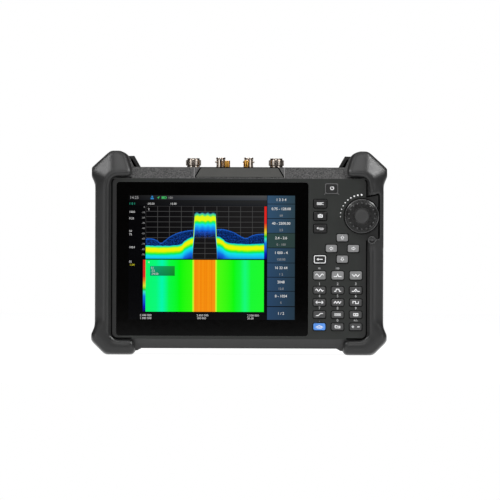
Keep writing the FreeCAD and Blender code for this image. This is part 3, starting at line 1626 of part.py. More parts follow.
large = ConnectorStyle(dim.large_flange_radius, dim.large_flange_height, dim.large_tail_radius,
                       dim.large_bore_radius, dim.large_bore_depth, dim.large_height,
                       dim.contact_radius_large)
bayonet = ConnectorStyle(dim.bayonet_flange_radius, dim.bayonet_flange_height,
                         dim.bayonet_tail_radius, dim.bayonet_bore_radius, dim.bayonet_bore_depth,
                         dim.bayonet_height, dim.contact_radius_bayonet)
small = ConnectorStyle(dim.small_flange_radius, dim.small_flange_height, dim.small_tail_radius,
                       dim.small_bore_radius, dim.small_bore_depth, dim.small_height,
                       dim.contact_radius_small)


def connector_places():
    return [
        (large, dim.large_left_x, dim.large_y),
        (large, dim.large_right_x, dim.large_y),
        (bayonet, dim.bayonet_left_x, dim.bayonet_y),
        (bayonet, dim.bayonet_right_x, dim.bayonet_y),
        (small, dim.small_left_x, dim.small_y),
        (small, dim.small_right_x, dim.small_y),
    ]


def make_connector(name, style, x, y, outside):
    """A connector: a turned sleeve with its bore, on a hexagonal flange and a tail."""
    body = new_body(name)
    top = style.top()
    bore_end = top - style.bore_depth
    flange_top = tray_floor + style.flange_height
    revolve(body, f"{name}_sleeve", outside + [
        (style.bore, top),
        (style.bore, bore_end),
        (none, bore_end),
        (none, flange_top),
    ], x, y)
    for part, sides, radius, start, length in (
        ("flange", HEXAGON, style.flange, tray_floor, style.flange_height),
        ("tail", OCTAGON, style.tail, tray_floor - dim.tail_length, dim.tail_length),
    ):
        sketch = new_sketch(body, f"{name}_{part}_outline", "XY_Plane", start)
        draw_regular(sketch, sides, radius)
        pad(body, sketch, f"{name}_{part}", length)
    return keep(body)


def make_large_connector(name, x):
    """Threaded connector with a narrow neck below its sleeve."""
    flange_top = tray_floor + large.flange_height
    neck_top = flange_top + dim.large_neck_height
    return make_connector(name, large, x, dim.large_y, [
        (dim.large_neck_radius, flange_top),
        (dim.large_neck_radius, neck_top),
        (dim.large_thread_radius, neck_top),
        (dim.large_thread_radius, large.top()),
    ])


def make_bayonet_connector(name, x):
    """Bayonet connector: a plain sleeve with two lugs below its tip."""
    shank_top = bayonet.top() - dim.bayonet_tip_length
    body = make_connector(name, bayonet, x, dim.bayonet_y, [
        (dim.bayonet_shank_radius, tray_floor + bayonet.flange_height),
        (dim.bayonet_shank_radius, shank_top),
        (dim.bayonet_radius, shank_top),
        (dim.bayonet_radius, bayonet.top()),
    ])
    wall = (dim.bayonet_shank_radius + dim.bayonet_bore_radius) / 2
    for side, start in (("left", -dim.bayonet_lug_reach), ("right", wall)):
        sketch = new_sketch(body, f"{name}_{side}_lug_outline", "YZ_Plane", start)
        draw_octagon(sketch, none, bayonet.top() - dim.bayonet_lug_drop, dim.bayonet_lug_radius)
        pad(body, sketch, f"{name}_{side}_lug", dim.bayonet_lug_reach - wall)
    return body


def make_small_connector(name, x):
    """Small threaded connector."""
    return make_connector(name, small, x, dim.small_y, [
        (dim.small_radius, tray_floor + small.flange_height),
        (dim.small_radius, small.top()),
    ])


def upright_prism(name, x, y, radius, base, height, sides):
    """A prism whose corners lie on a circle of the given radius."""
    piece = doc.addObject("Part::Prism", name)
    piece.Polygon = sides
    bind(piece, Circumradius=radius, Height=height, Placement_at_Base_at_x=x,
         Placement_at_Base_at_y=y, Placement_at_Base_at_z=base)
    return piece


def insulator_top(style):
    return style.top() - style.bore_depth + dim.insulator_height


def make_connector_contacts():
    """Centre contact of each connector, standing on its insulator."""
    pieces = []
    for index, (style, x, y) in enumerate(connector_places(), start=1):
        base = insulator_top(style)
        height = style.top() - dim.contact_recess - base
        pieces.append(upright_prism(f"contact_{index}", x, y, style.contact, base, height, OCTAGON))
    group = doc.addObject("Part::Compound", "connector_contacts")
    group.Links = pieces
    group.Label = "connector_contacts"
    doc.recompute()
    return keep(group)


def make_connector_insulators():
    """Insulator disc on the floor of each connector's bore."""
    pieces = []
    for index, (style, x, y) in enumerate(connector_places(), start=1):
        floor = style.top() - style.bore_depth
        pieces.append(upright_prism(f"insulator_{index}", x, y, style.bore, floor,
                                    dim.insulator_height, INSULATOR_SIDES))
    group = doc.addObject("Part::Compound", "connector_insulators")
    group.Links = pieces
    group.Label = "connector_insulators"
    doc.recompute()
    return keep(group)


def make_connector_nuts():
    """A hexagonal nut below the tray floor on each connector's tail."""
    base = tray_floor - dim.tray_floor_thickness - dim.nut_height
    pieces = []
    for index, (style, x, y) in enumerate(connector_places(), start=1):
        blank = upright_prism(f"nut_blank_{index}", x, y, style.tail + dim.nut_margin, base,
                              dim.nut_height, HEXAGON)
        nut = doc.addObject("Part::Cut", f"nut_{index}")
        nut.Base = blank
        nut.Tool = upright_prism(f"nut_bore_{index}", x, y, style.tail + dim.connector_fit, base,
                                 dim.nut_height, OCTAGON)
        pieces.append(nut)
    group = doc.addObject("Part::Compound", "connector_nuts")
    group.Links = pieces
    group.Label = "connector_nuts"
    doc.recompute()
    return keep(group)


make_front_case()
make_rear_case()
make_case_seal()
case_envelope = make_envelope()
make_left_bumper(case_envelope)
make_right_bumper(case_envelope)
make_nameplate()
make_touch_glass()
make_display_panel()
make_display_frame()
make_keypad_board()
make_dome_sheet()
for group in groups:
    for key in group.keys():
        make_key(key)
make_power_bezel()
make_jog_wheel()
make_wheel_retainer()
make_enter_button()
make_encoder_housing()
make_main_board()
make_rf_shield()
make_heat_spreader()
make_battery_pack()
make_battery_cover()
make_screws("battery_screws", cover_screw_places,
            battery_back - dim.screw_head_depth + dim.screw_end_gap,
            battery_back + dim.cover_sink_floor, dim.cover_screw_radius,
            dim.cover_thickness - dim.cover_sink_floor)
make_kickstand()
make_kickstand_pins()
make_kickstand_foot()
make_connector_tray()
make_large_connector("rf_input_connector", dim.large_left_x)
make_large_connector("rf_output_connector", dim.large_right_x)
make_bayonet_connector("left_bayonet_connector", dim.bayonet_left_x)
make_bayonet_connector("right_bayonet_connector", dim.bayonet_right_x)
make_small_connector("left_small_connector", dim.small_left_x)
make_small_connector("right_small_connector", dim.small_right_x)
make_connector_insulators()
make_connector_contacts()
make_connector_nuts()
make_screws("case_screws", screw_places, front_back - dim.screw_bite + dim.screw_end_gap,
            rear_face - dim.screw_head_depth, dim.screw_head_radius, dim.screw_head_height)

doc.recompute()
for item in doc.Objects:
    if "Invalid" in item.State or "Error" in item.State:
        raise RuntimeError(f"{item.Name}: {item.State}")
os.makedirs("parts", exist_ok=True)
for part in parts:
    if part.Shape.isNull() or not part.Shape.isValid():
        raise RuntimeError(f"{part.Label}: no valid shape")
    part.Shape.exportStep(f"parts/{part.Label}.step")
print(f"{len(parts)} sub-parts written")
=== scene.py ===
"""Looks of the handheld spectrum analyzer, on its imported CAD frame.

Shapes are written in millimetres in the CAD frame (x right, y back, z up) and scaled when a mesh is made.
"""
import json
import math

import bmesh
import bpy
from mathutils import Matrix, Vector

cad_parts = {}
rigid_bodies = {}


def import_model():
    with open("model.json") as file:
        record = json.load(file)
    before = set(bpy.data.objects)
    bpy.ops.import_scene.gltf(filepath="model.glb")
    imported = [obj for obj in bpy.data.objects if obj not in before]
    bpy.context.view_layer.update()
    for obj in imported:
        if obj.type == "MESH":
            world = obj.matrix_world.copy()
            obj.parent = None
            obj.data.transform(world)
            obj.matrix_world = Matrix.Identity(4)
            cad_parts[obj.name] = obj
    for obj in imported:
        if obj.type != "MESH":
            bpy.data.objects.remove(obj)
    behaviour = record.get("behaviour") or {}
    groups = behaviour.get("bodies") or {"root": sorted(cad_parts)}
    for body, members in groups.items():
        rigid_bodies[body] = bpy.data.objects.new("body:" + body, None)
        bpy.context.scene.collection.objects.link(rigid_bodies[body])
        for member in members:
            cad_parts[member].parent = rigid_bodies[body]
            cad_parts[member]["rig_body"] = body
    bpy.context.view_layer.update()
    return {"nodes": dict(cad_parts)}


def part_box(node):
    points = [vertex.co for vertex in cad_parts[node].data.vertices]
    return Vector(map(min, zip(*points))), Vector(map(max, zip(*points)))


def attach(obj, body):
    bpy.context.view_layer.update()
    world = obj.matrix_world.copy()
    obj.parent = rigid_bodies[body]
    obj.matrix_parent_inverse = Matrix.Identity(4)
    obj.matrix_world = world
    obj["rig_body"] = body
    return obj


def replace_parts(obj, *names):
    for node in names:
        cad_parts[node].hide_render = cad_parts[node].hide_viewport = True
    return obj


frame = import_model()
nodes = frame["nodes"]
MM = 0.001


# Colours and node trees.

def channel(value):
    """A linear value from one of 0 to 255, as a screen shows it."""
    value /= 255
    return value / 12.92 if value <= 0.04045 else ((value + 0.055) / 1.055) ** 2.4


def rgb(red, green, blue):
    return channel(red), channel(green), channel(blue), 1


def grey(value, warm=0):
    return rgb(value + warm, value, value - warm)


WHITE = grey(255)


class Tree:
    """The node tree of a new material or world, written as calls that return output sockets."""

    def __init__(self, name, library=bpy.data.materials, out="OutputMaterial"):
        self.owner = library.new(name)
        self.owner.use_nodes = True
        self.nodes = self.owner.node_tree.nodes
        self.links = self.owner.node_tree.links
        self.nodes.clear()
        self.out = self.node(out)
        self.coordinates = self.node("TexCoord").outputs

    def node(self, kind, inputs=None, **settings):
        made = self.nodes.new("ShaderNode" + kind)
        for name, value in settings.items():
            setattr(made, name, value)
        for key, value in (inputs or {}).items():
            socket = made.inputs[key]
            if isinstance(value, bpy.types.NodeSocket):
                self.links.new(value, socket)
            else:
                socket.default_value = value
        return made

    def axis(self, name):
        """One coordinate in the CAD frame, in millimetres."""
        part = self.node("SeparateXYZ", {0: self.coordinates["Object"]}).outputs[name]
        return self.times(part, 1000)

    def math(self, operation, *values):
        return self.node("Math", dict(enumerate(values)), operation=operation).outputs[0]

    def minus(self, a, b):
        return self.math("SUBTRACT", a, b)

    def times(self, a, b):
        return self.math("MULTIPLY", a, b)

    def line(self, x, slope, start):
        """The value at x of a straight line."""
        return self.math("MULTIPLY_ADD", x, slope, start)

    def noise(self, size, detail=2, roughness=0.5):
        """Noise in the CAD frame, whose features are about size millimetres."""
        inputs = {"Vector": self.coordinates["Object"], "Scale": 1000 / size, "Detail": detail,
                  "Roughness": roughness}
        return self.node("TexNoise", inputs).outputs["Fac"]

    def cells(self, size):
        """A chance value for each cell of about size millimetres."""
        inputs = {"Vector": self.coordinates["Object"], "Scale": 1000 / size}
        return self.node("TexVoronoi", inputs).outputs["Color"]

    def spread(self, value, low, high, start=0.3, end=0.7):
        """Low at start, high at end, clamped. Noise is mostly between 0.3 and 0.7."""
        return self.node("MapRange", {"Value": value, "From Min": start, "From Max": end,
                                      "To Min": low, "To Max": high}).outputs[0]

    def span(self, value, start, end):
        """0 at start, 1 at end, clamped."""
        return self.spread(value, 0, 1, start, end)

    def blend(self, factor, first, second, how="MIX"):
        """Two colours, which a Mix node takes in its sockets 6 and 7, and gives in 2."""
        inputs = {0: factor, 6: first, 7: second}
        return self.node("Mix", inputs, data_type="RGBA", blend_type=how).outputs[2]

    def ramp(self, value, stops):
        """Colours at places along a value, as a list of (place, red, green, blue)."""
        made = self.node("ValToRGB", {0: value})
        elements = made.color_ramp.elements
        while len(elements) < len(stops):
            elements.new(1)
        for element, (at, *colour) in zip(elements, stops):
            element.position = at
            element.color = rgb(*colour)
        return made.outputs[0]

    def curve(self, value, points):
        """A smooth function through points (value, result), both 0 to 1."""
        made = self.node("FloatCurve", {"Value": value})
        line = made.mapping.curves[0]
        line.points[0].location, line.points[1].location = points[0], points[-1]
        for at in points[1:-1]:
            line.points.new(*at)
        made.mapping.update()
        return made.outputs[0]

    def bump(self, height, depth, under=None):
        """The normal of a bump of depth millimetres, laid over the normal of another one."""
        inputs = {"Height": height, "Distance": depth * MM}
        if under is not None:
            inputs["Normal"] = under
        return self.node("Bump", inputs).outputs[0]

    def seen_by(self):
        """Whether the camera sees a point, and whether a reflection or refraction shows it."""
        ray = self.node("LightPath").outputs
        mirrored = self.math("MAXIMUM", ray["Is Glossy Ray"], ray["Is Transmission Ray"])
        return ray["Is Camera Ray"], mirrored

    def mix(self, factor, first, second):
        return self.node("MixShader", {0: factor, 1: first, 2: second}).outputs[0]

    def show(self, shader):
        """The material or world, finished with a shader."""
        self.links.new(shader, self.out.inputs[0])
        return self.owner

    def surface(self, **inputs):
        """The material, finished with a Principled shader."""
        named = {key.replace("_", " "): value for key, value in inputs.items()}
        return self.show(self.node("BsdfPrincipled", named).outputs[0])


def shaded(tree, colour, amount, size):
    """A colour that varies a little over the surface."""
    dark = tuple(c * (1 - amount) for c in colour[:3]) + (1,)
    light = tuple(min(1, c * (1 + amount)) for c in colour[:3]) + (1,)
    return tree.blend(tree.spread(tree.noise(size, 4), 0, 1), dark, light)


def moulded(name, colour, rough, grain=0.35, depth=0.02, blotch=0.08, blotch_size=14, rough_spread=0.05,
            specular=0.5):
    """Moulded plastic or rubber: a fine grain, with its colour and gloss a little uneven."""
    tree = Tree(name)
    gloss = tree.noise(blotch_size * 0.4, 3)
    return tree.surface(Base_Color=shaded(tree, colour, blotch, blotch_size),
                        Roughness=tree.spread(gloss, rough - rough_spread, rough + rough_spread),
                        Specular_IOR_Level=specular,
                        Normal=tree.bump(tree.noise(grain, 3, 0.6), depth))


def printed(name, colour):
    """Print on plastic: thin paint, a little uneven."""
    return moulded(name, colour, 0.5, grain=0.5, depth=0.004, blotch=0.06, blotch_size=1.5)


def plated(name, colour, rough, scratch=0.006):
    """Plated or bare metal with fine turning marks and slight stains."""
    tree = Tree(name)
    return tree.surface(Base_Color=shaded(tree, colour, 0.07, 3), Metallic=1,
                        Roughness=tree.spread(tree.noise(2.5, 4), rough - 0.03, rough + 0.05),
                        Normal=tree.bump(tree.noise(0.25, 4, 0.7), scratch))


# Objects and meshes.

def add_object(name, data):
    made = bpy.data.objects.new(name, data)
    bpy.context.scene.collection.objects.link(made)
    return made


def evaluated(made):
    """The mesh of an object with its modifiers applied."""
    bpy.context.view_layer.update()
    return bpy.data.meshes.new_from_object(made.evaluated_get(bpy.context.evaluated_depsgraph_get()))


def edit_mesh(mesh, change, *values):
    """Run change(edit, *values) on a mesh opened as edit."""
    edit = bmesh.new()
    edit.from_mesh(mesh)
    change(edit, *values)
    edit.to_mesh(mesh)
    edit.free()


def face_outwards(edit):
    bmesh.ops.recalc_face_normals(edit, faces=edit.faces[:])


def face_viewer(edit):
    for face in edit.faces:
        if face.normal.y > 0:
            face.normal_flip()


def sharpen(edit, angle=38):
    """Keep edges over angle degrees sharp under smooth shading."""
    for edge in edit.edges:
        if len(edge.link_faces) == 2 and edge.calc_face_angle() > math.radians(angle):
            edge.smooth = False


def set_smooth(mesh):
    for polygon in mesh.polygons:
        polygon.use_smooth = True


def mesh_of(name, points, faces, smooth=True):
    """A mesh from points in millimetres."""
    mesh = bpy.data.meshes.new(name)
    mesh.from_pydata([(x * MM, y * MM, z * MM) for x, y, z in points], [], faces)
    mesh.validate()
    edit_mesh(mesh, face_outwards)
    if smooth:
        set_smooth(mesh)
    return mesh


def piece(name, mesh, material, body="case"):
    """A new piece with its material, which rides on a body."""
    made = add_object(name, mesh)
    mesh.materials.append(material)
    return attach(made, body)


def finish_cad(material, *names):
    for name in names:
        mesh = nodes[name].data
        mesh.materials.clear()
        mesh.materials.append(material)


def arc_points(x, y, radius, start, end, steps):
    """Points (x, y) along an arc, its angles in degrees from the x axis."""
    turns = [math.radians(start + (end - start) * i / steps) for i in range(steps + 1)]
    return [(x + radius * math.cos(turn), y + radius * math.sin(turn)) for turn in turns]


# Camera, light, floor.

CENTRE = Vector((11.05 * MM, -34 * MM, 107.7 * MM))
PHOTO_WIDTH = 0.5125  # metres across the photograph at the front of the case
DISTANCE = 6
ROLL = math.radians(0.2)  # the object leans this much to the right in the photograph
FLOOR_HEIGHT = -0.05  # just under the feet
FLOOR_GLOW = 1.18
GLOW_SHARE = 0.8  # how much of the floor's look is its white glow, which takes no shadow

camera_data = bpy.data.cameras.new("camera")
camera_data.lens = camera_data.sensor_width * DISTANCE / PHOTO_WIDTH
camera_data.clip_end = 50
camera = add_object("camera", camera_data)
camera.location = CENTRE - Vector((0, DISTANCE, 0))
camera.rotation_euler = (math.pi / 2, -ROLL, 0)
bpy.context.scene.camera = camera
bpy.context.scene.view_settings.view_transform = "Standard"


def lamp(name, place, target_height, width, height, power):
    """A softbox at a place, in metres, turned to a point above the middle of the object's base."""
    data = bpy.data.lights.new(name, "AREA")
    data.shape = "RECTANGLE"
    data.size, data.size_y = width, height
    data.energy = power
    made = add_object(name, data)
    made.location = place
    aim = Vector((0, 0, target_height)) - Vector(place)
    made.rotation_euler = aim.to_track_quat("-Z", "Y").to_euler()


lamp("top_softbox", (0, 0.15, 1.25), 0.1, 1.3, 0.6, 2.2)
lamp("brow_softbox", (0, -0.67, 1.45), 0.1, 0.9, 0.35, 4)
lamp("front_softbox", (-0.25, -1.9, 1.1), 0.1, 1.4, 0.8, 9)
lamp("left_strip", (-1.25, -1.3, 0.2), 0.2, 0.85, 0.4, 2)
lamp("right_strip", (1.25, -1.3, 0.2), 0.2, 0.85, 0.4, 2)
lamp("left_softbox", (-1.07, -0.4, 1.3), 0.1, 0.45, 0.45, 8)
lamp("right_softbox", (1.07, -0.4, 1.3), 0.1, 0.45, 0.45, 12)


def make_studio():
    """A world that the camera sees as white, and gloss as white behind the object and dark before it."""
    tree = Tree("studio", bpy.data.worlds, "OutputWorld")

    def light(colour):
        return tree.node("Background", {"Color": colour}).outputs[0]

    backward = tree.node("SeparateXYZ", {0: tree.coordinates["Generated"]}).outputs["Y"]
    behind = tree.node("MapRange", {"Value": backward, "From Min": 0.88, "From Max": 1},
                       interpolation_type="SMOOTHSTEP").outputs[0]
    to_camera, mirrored = tree.seen_by()
    reflected = tree.mix(behind, light((0.06, 0.054, 0.05, 1)), light(WHITE))
    around = tree.mix(mirrored, light((0.30, 0.305, 0.32, 1)), reflected)
    bpy.context.scene.world = tree.show(tree.mix(to_camera, around, light(WHITE)))


def make_floor():
    """A white floor that keeps a soft shadow of the object."""
    tree = Tree("floor")
    paint = shaded(tree, grey(228), 0.02, 60)
    matt = tree.node("BsdfDiffuse", {"Color": paint}).outputs[0]
    glow = tree.node("Emission", {"Color": WHITE, "Strength": FLOOR_GLOW}).outputs[0]
    glowing_share = tree.times(tree.math("MAXIMUM", *tree.seen_by()), GLOW_SHARE)
    near, far, side = -1300, 4000, 4000
    corners = [(-side, near), (side, near), (side, far), (-side, far)]
    mesh = mesh_of("floor", [(x, y, FLOOR_HEIGHT) for x, y in corners], [(0, 1, 2, 3)], smooth=False)
    mesh.materials.append(tree.show(tree.mix(glowing_share, matt, glow)))
    add_object("floor", mesh)


make_studio()
make_floor()


# Materials of the CAD nodes and of the pieces added to them.

def case_material():
    """Charcoal plastic, satin on the front and with a coarse stipple on its 45 degree top bevel; painted
    shade and painted bounce light are laid into its colour.
    """
    tree = Tree("case_plastic")
    x, z = tree.axis("X"), tree.axis("Z")
    facing = tree.node("SeparateXYZ", {0: tree.node("NewGeometry").outputs["Normal"]}).outputs["Z"]
    upward, floor_lit_underside = tree.span(facing, 0.35, 0.6), tree.span(facing, -0.35, -0.6)
    sides = tree.math("MAXIMUM", tree.span(x, -119, -127), tree.span(x, 121, 130))
    pocket = tree.times(tree.span(x, 130.5, 132), tree.span(z, 117, 121))
    plain = shaded(tree, rgb(41, 43, 41), 0.06, 18)
    # Painted shade under the bumpers' edges and in the pocket beside the wheel, and a painted reflection
    # of the floor's light that makes the bottom bevel lighter.
    for share, colour in ((sides, grey(35)), (pocket, grey(31)), (floor_lit_underside, grey(54))):
        plain = tree.blend(share, plain, colour)
    clouds = tree.spread(tree.noise(1.3, 3, 0.7), 0, 0.5, 0.38, 0.64)
    speck = tree.line(tree.cells(1), 0.5, clouds)
    bevel = tree.blend(tree.span(speck, 0.2, 0.85), grey(27), grey(91, 0.6))
    coarse = tree.bump(tree.times(tree.noise(0.9, 3, 0.7), upward), 0.22)
    return tree.surface(Base_Color=tree.blend(upward, plain, bevel), Specular_IOR_Level=0.35,
                        Roughness=tree.spread(tree.noise(6, 3), 0.35, 0.41),
                        Normal=tree.bump(tree.noise(0.4, 3, 0.6), 0.01, coarse))


case_plastic = case_material()
rubber = moulded("bumper_rubber", grey(34, -0.2), 0.37, grain=0.5, depth=0.008, blotch=0.05,
                 rough_spread=0.015)
nickel = plated("nickel", rgb(200, 190, 180), 0.12, 0.0006)
gold = plated("gold", rgb(240, 182, 88), 0.13, 0.0004)
bezel_paint = moulded("bezel", grey(96), 0.4, grain=0.3, depth=0.01)
wheel_plastic = moulded("wheel", grey(28), 0.27, grain=0.3, depth=0.004)
# A lighter plastic that paints the glints on the wheel's nubs and on the edge of its rim.
glint_plastic = moulded("wheel_glints", grey(72), 0.28, grain=0.4, depth=0.004)
button_plastic = moulded("button", grey(50), 0.45, grain=0.5, depth=0.012)
# Near-black paint laid where only shade falls: in the gaps, grooves and the wheel's well.
painted_gap_shade = moulded("painted_gap_shade", grey(5), 0.9, grain=0.5, depth=0.004, specular=0.02)
# Light grey rubber: a painted highlight on the eyelet's rims and bowl.
eyelet_glint_rubber = moulded("eyelet_glint_rubber", grey(84), 0.3, grain=0.5, depth=0.004)
white_print = printed("white_print", grey(240))
grey_print = printed("grey_print", grey(186))
# Lighter paint that stands for the highlight on the nameplate's edge steps.
step_highlight = printed("step_highlight", grey(108, 1))

CAD_FINISHES = [
    (case_plastic, "front_case"),
    (moulded("rear_plastic", grey(22), 0.5, grain=0.45), "rear_case"),
    (moulded("seal_rubber", grey(16), 0.7), "case_seal"),
    (rubber, "left_bumper", "right_bumper"),
    (moulded("plate", rgb(56, 56, 53), 0.45, grain=0.5, depth=0.01), "nameplate"),
    (moulded("touch_glass", grey(2), 0.1, grain=3, depth=0.0004, blotch=0.2, rough_spread=0.015,
             specular=0.15), "touch_glass"),
    (moulded("display_panel", grey(12), 0.3), "display_panel"),
    (plated("sheet_metal", grey(175), 0.32), "display_frame", "rf_shield", "heat_spreader"),
    (moulded("board", rgb(20, 62, 38), 0.4, grain=0.8), "keypad_board", "main_board"),
    (moulded("inner_plastic", grey(70), 0.6), "dome_sheet", "encoder_housing", "battery_pack",
     "wheel_retainer"),
    (bezel_paint, "power_bezel"),
    (moulded("cover", grey(28), 0.5), "battery_cover"),
    (plated("black_screws", grey(60), 0.35), "battery_screws", "case_screws"),
    (plated("steel", grey(150), 0.3), "kickstand_pins"),
    (moulded("tray", grey(26), 0.55), "connector_tray"),
    (nickel, "rf_input_connector", "rf_output_connector", "left_bayonet_connector",
     "right_bayonet_connector", "connector_nuts"),
    (gold, "left_small_connector", "right_small_connector", "connector_contacts"),
    (moulded("insulator", grey(215), 0.45), "connector_insulators"),
    (wheel_plastic, "jog_wheel"),
    (button_plastic, "enter_button"),
    (moulded("stand", grey(30), 0.5), "kickstand"),
    (moulded("foot_rubber", grey(18), 0.75), "kickstand_foot"),
]
for finish in CAD_FINISHES:
    finish_cad(*finish)


def key_rubber(slot, colour, rough):
    """The material of a kind of key, with its finish slot."""
    return moulded(slot, colour, rough, grain=0.4, depth=0.01), slot


# A key has the first finish here that its name starts with.
KEY_FINISHES = {
    ("key_blue",): key_rubber("blue_key", rgb(88, 150, 236), 0.5),
    ("key_grey", "key_arrow"): key_rubber("grey_keys", grey(128), 0.5),
    ("key_menu", "key_escape", "key_power"): key_rubber("dark_keys", grey(26), 0.38),
    ("key_",): key_rubber("number_keys", grey(66), 0.55),
}


def key_finish(node):
    return next(finish for starts, finish in KEY_FINISHES.items() if node.startswith(starts))


keys = [node for node in nodes if node.startswith("key_")]
for key in keys:
    finish_cad(key_finish(key)[0], key)


# Flat marks.

FRONT = -34  # the front of the case and of its glass


class Marks:
    """Flat shapes in one plane that faces the viewer, gathered into one mesh."""

    def __init__(self, y):
        self.y = y
        self.points = []
        self.faces = []

    def add_points(self, flat_points):
        """Add points (x, z), and give the number of the first one."""
        start = len(self.points)
        self.points += [(x, self.y, z) for x, z in flat_points]
        return start

    def polygon(self, outline):
        start = self.add_points(outline)
        self.faces.append(tuple(range(start, len(self.points))))

    def box(self, left, right, base, top):
        self.polygon([(left, base), (right, base), (right, top), (left, top)])

    def frame(self, left, right, base, top, line):
        """The outline of a box, drawn inside it."""
        half = line / 2
        self.stroke([(left + half, base + half), (right - half, base + half), (right - half, top - half),
                     (left + half, top - half)], line, closed=True)

    def disc(self, x, z, radius):
        self.polygon(arc_points(x, z, radius, 0, 360, 20)[:-1])

    def arc(self, x, z, radius, line, start=0, end=360, steps=28):
        """A line along an arc, its angles in degrees from the right, anticlockwise."""
        path = arc_points(x, z, radius, start, end, steps)
        whole = end - start == 360
        self.stroke(path[:-1] if whole else path, line, closed=whole)

    def stroke(self, path, line, closed=False):
        """A line of the given width along a path, with mitred corners."""
        path = [Vector(p) for p in path]
        count = len(path)
        ways = [(path[(i + 1) % count] - here).normalized() for i, here in enumerate(path)]
        rails = []
        for i, here in enumerate(path):
            into = ways[i - 1] if closed or i else ways[0]
            out = ways[i] if closed or i < count - 1 else into
            along, square = into + out, Vector((-into.y, into.x))
            side = Vector((-along.y, along.x)).normalized() if along.length > 1e-6 else square
            reach = line / 2 / max(0.45, side.dot(square))  # a very sharp corner is cut short
            rails += [here + side * reach, here - side * reach]
        start = self.add_points(rails)
        for i in range(count if closed else count - 1):
            a, b = start + 2 * i, start + 2 * ((i + 1) % count)
            self.faces.append((a, b, b + 1, a + 1))

    def digits(self, text, x, z, height, align="LEFT", bold=0):
        """Figures in Blender's own font, as flat faces. z is the middle of their height."""
        font = bpy.data.curves.new("figures", "FONT")
        font.body = text
        font.size = height / 0.7
        font.align_x = align
        font.offset = bold
        font.resolution_u = 2
        made = add_object("figures", font)
        mesh = evaluated(made)
        start = self.add_points((x + v.co.x, z + v.co.y - height / 2) for v in mesh.vertices)
        self.faces += [tuple(start + i for i in face.vertices) for face in mesh.polygons]
        bpy.data.objects.remove(made)
        bpy.data.curves.remove(font)
        bpy.data.meshes.remove(mesh)

    def make(self, name, slot, material, body="case"):
        mesh = mesh_of(name, self.points, self.faces, smooth=False)
        edit_mesh(mesh, face_viewer)
        piece(name, mesh, material, body)


# The lit display.

LAYER = 0.012  # each layer of the picture lies this far in front of the one behind it
# Boxes are given as left, right, base, top.
LCD = LCD_LEFT, LCD_RIGHT, LCD_BASE, LCD_TOP = -113.3, 57.5, 36.1, 163.5
PLOT_LEFT, PLOT_RIGHT, PLOT_BASE, PLOT_TOP = -95.9, 25.6, 98.5, 152.4
FALL_BASE, FALL_TOP = 44.2, 97.4
MENU_LEFT, MENU_RIGHT = 28.8, 57
MENU = MENU_LEFT, MENU_RIGHT, LCD_BASE, LCD_TOP
BAR_RIGHT = MENU_LEFT - 0.5
TITLE_BASE = 158.6
INFO_TOP = 158.4
SIGNAL_LEFT, SIGNAL_RIGHT = -48.4, -22.2  # feet of the signal's sides
SIGNAL_TOP = 145.8
LEAN_LEFT, LEAN_RIGHT = 0.056, -0.041  # how far a side moves over for each millimetre up
BAND_LEFT, BAND_RIGHT = -46.4, -24.2  # the signal's band in the waterfall
READOUT = (-91.3, -66, 81, 91)

# The menu's fields: top, base, value, and the smaller value below it.
MENU_FIELDS = [
    (163.5, 155.2, "1 2 3 4", None),
    (154.6, 140.3, "0.75 - 128.00", "60"),
    (139.7, 125.3, "40 - 2500.00", "2.5"),
    (124.8, 110.2, "2.4 - 2.6", "0 - 100"),
    (109.6, 94.8, "1 000 - 4", "150.00"),
    (94.2, 80.2, "16 32 64", "1 2"),
    (79.6, 65.8, "2048", "12.0"),
    (65.2, 50.2, "8 - 1024", "5"),
    (49.3, 36.3, "1 / 2", None),
]
CHOSEN_FIELD = 3
VALUE_DROP, SECOND_DROP = 4.6, 11.4  # from a field's top to the middles of its two values

# Columns of figures about the plots: the left edge of each, then the heights of its texts.
FIGURES = {
    -113: {146.4: "1000", 139.8: "0.25", 126.8: "50", 123.4: "75", 110.2: "1024", 95.4: "35"},
    -101.6: {40.6: "2.400 000", 37.6: "1.000 000"},
    -94.6: {154.9: "-30.00"},
    -93.6: {149.3: "2"},
    -93.4: {94.9: "4"},
    -90.4: {89: "51", 86.1: "-72", 83: "-74.50"},
    -71: {154.9: "10.00"},
    -43.4: {40.6: "2.450 000", 37.6: "100.000"},
    8.4: {40.6: "2.500 000", 37.6: "30.00"},
}


def layer(number):
    """Marks in one layer of the picture."""
    return Marks(FRONT - LAYER * number)


def inside_of(tree, x, left, right):
    """How far x is from the nearer of left and right, negative outside them."""
    return tree.math("MINIMUM", tree.minus(x, left), tree.minus(right, x))


def glowing(tree, colour):
    """The surface of the display: glossy black that gives out the picture's own light."""
    return tree.surface(Base_Color=rgb(3, 3, 4), Roughness=0.12, Specular_IOR_Level=0.13,
                        Emission_Color=colour, Emission_Strength=1)


